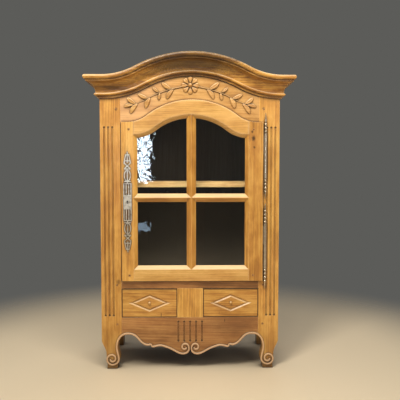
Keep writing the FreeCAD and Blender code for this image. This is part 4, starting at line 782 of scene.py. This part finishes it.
def camera():
    """The camera at the photograph's place and angle."""
    data = bpy.data.cameras.new("camera")
    data.sensor_width = SENSOR
    data.lens = SENSOR / 2 / math.tan(CAMERA_WIDTH_ANGLE / 2)
    thing = put("camera", data)
    thing.location = CAMERA_PLACE
    thing.rotation_euler = (math.radians(90) - CAMERA_DOWN, 0, -CAMERA_RIGHT)
    bpy.context.scene.camera = thing


WARM = linear(255, 244, 226)
# Each lamp's place, what it points at, its width and height, its watts and its tint.
LAMPS = {
    "key": ((-0.7, -1.6, 2.45), (0, 0, 0.6), (0.6, 0.6), 37, WARM),
    "overhead": ((0.1, -0.95, 2.1), (0, 0, 0.6), (1.1, 0.4), 17, WARM),
    "fill": ((1.3, -2.1, 1.5), (0, 0, 0.5), (1.0, 1.0), 12, WARM),
    "back": ((0.3, 1.6, 2.4), (0, 0, 0.8), (1.2, 0.6), 10, linear(255, 250, 244)),
    "window": ((-0.365, -2.35, 0.87), (-0.164, 0, 0.785), (0.125, 0.44), 6.0, linear(225, 240, 255)),
    "sill": ((-0.372, -2.35, 0.283), (-0.17, 0, 0.51), (0.1, 0.075), 0.11, linear(184, 212, 238)),
}
# The lamps that the panes reflect, and the values of the noise at which their leaves are dark and bright.
LEAFY = {"window": (0.47, 0.5), "sill": (0.1, 0.62)}
LEAF_NOISE, LEAF_STRETCH = 8.0, 2.4


def lamp(name, place, target, size, power, tint):
    data = bpy.data.lights.new(name, "AREA")
    data.shape = "RECTANGLE"
    data.size, data.size_y = size
    data.energy = power
    data.color = tint[:3]
    thing = put(name, data)
    thing.location = place
    thing.rotation_euler = (Vector(target) - Vector(place)).to_track_quat("-Z", "Y").to_euler()
    return thing


def leafy(thing, dark, bright):
    """Breaks a lamp's light up as leaves before a window do."""
    data = thing.data
    data.use_nodes = True
    tree = Tree(data.node_tree)
    spot = tree.mapped(tree.add("NewGeometry").outputs["Parametric"], scale=(1, LEAF_STRETCH, 1))
    light = tree.step(tree.noise(spot, LEAF_NOISE, 2.0), dark, bright)
    tree.feed(data.node_tree.nodes["Emission"].inputs["Strength"], light)


FLOOR_HALF = 14.0
FLOOR_TINT, FLOOR_SHADE = linear(228, 215, 190), linear(40, 36, 30)
FLOOR_ROUGHNESS = 0.55
FLOOR_REACH, FLOOR_FADE = 0.75, 1.5
UNDER_REACH, UNDER_SHARE, UNDER_AIR = 0.3, 0.9, (0.1, 0.75)
BACKDROP = linear(92, 92, 89)
WORLD_TINT, WORLD_LIGHT = linear(255, 250, 242), 0.15


def floor():
    """A pale floor with a painted shadow under the cabinet, that the camera sees fade into the backdrop
    behind it.
    """
    mesh = bpy.data.meshes.new("floor")
    corners = ((-1, -1), (1, -1), (1, 1), (-1, 1))
    mesh.from_pydata([(FLOOR_HALF * x, FLOOR_HALF * y, 0) for x, y in corners], [], [(0, 1, 2, 3)])
    thing = put("floor", mesh)
    material, tree, shader = new_material("pale_floor")
    shade = tree.step(tree.open_air(UNDER_REACH, 16), *UNDER_AIR, UNDER_SHARE, 0.0)
    tree.feed(shader.inputs["Base Color"], tree.mix(shade, FLOOR_TINT, FLOOR_SHADE))
    shader.inputs["Roughness"].default_value = FLOOR_ROUGHNESS
    away = tree.vector("LENGTH", tree.add("TexCoord").outputs["Object"])
    faded = tree.math("MULTIPLY", tree.step(away, FLOOR_REACH, FLOOR_FADE),
                      tree.add("LightPath").outputs["Is Camera Ray"])
    clear = tree.add("BsdfTransparent").outputs[0]
    set_surface(material, tree, tree.mix_shaders(faded, shader.outputs[0], clear))
    mesh.materials.append(material)


def world():
    """Soft light all round, and the grey wall that the camera, the glass and the metal see."""
    thing = bpy.data.worlds.new("studio")
    bpy.context.scene.world = thing
    thing.use_nodes = True
    tree = Tree(thing.node_tree)
    wall = thing.node_tree.nodes["Background"]
    wall.inputs["Color"].default_value = BACKDROP
    light = tree.add("Background")
    light.inputs["Color"].default_value = WORLD_TINT
    light.inputs["Strength"].default_value = WORLD_LIGHT
    path = tree.add("LightPath").outputs
    shown = tree.math("MAXIMUM", path["Is Camera Ray"], path["Is Glossy Ray"])
    shown = tree.math("MAXIMUM", shown, path["Is Transmission Ray"])
    both = tree.mix_shaders(shown, light.outputs[0], wall.outputs[0])
    tree.feed(thing.node_tree.nodes["World Output"].inputs[0], both)


camera()
floor()
world()
for name, settings in LAMPS.items():
    lit = lamp(name, *settings)
    if name in LEAFY:
        leafy(lit, *LEAFY[name])
        lit.visible_camera = False

bpy.context.scene.view_settings.view_transform = "Standard"
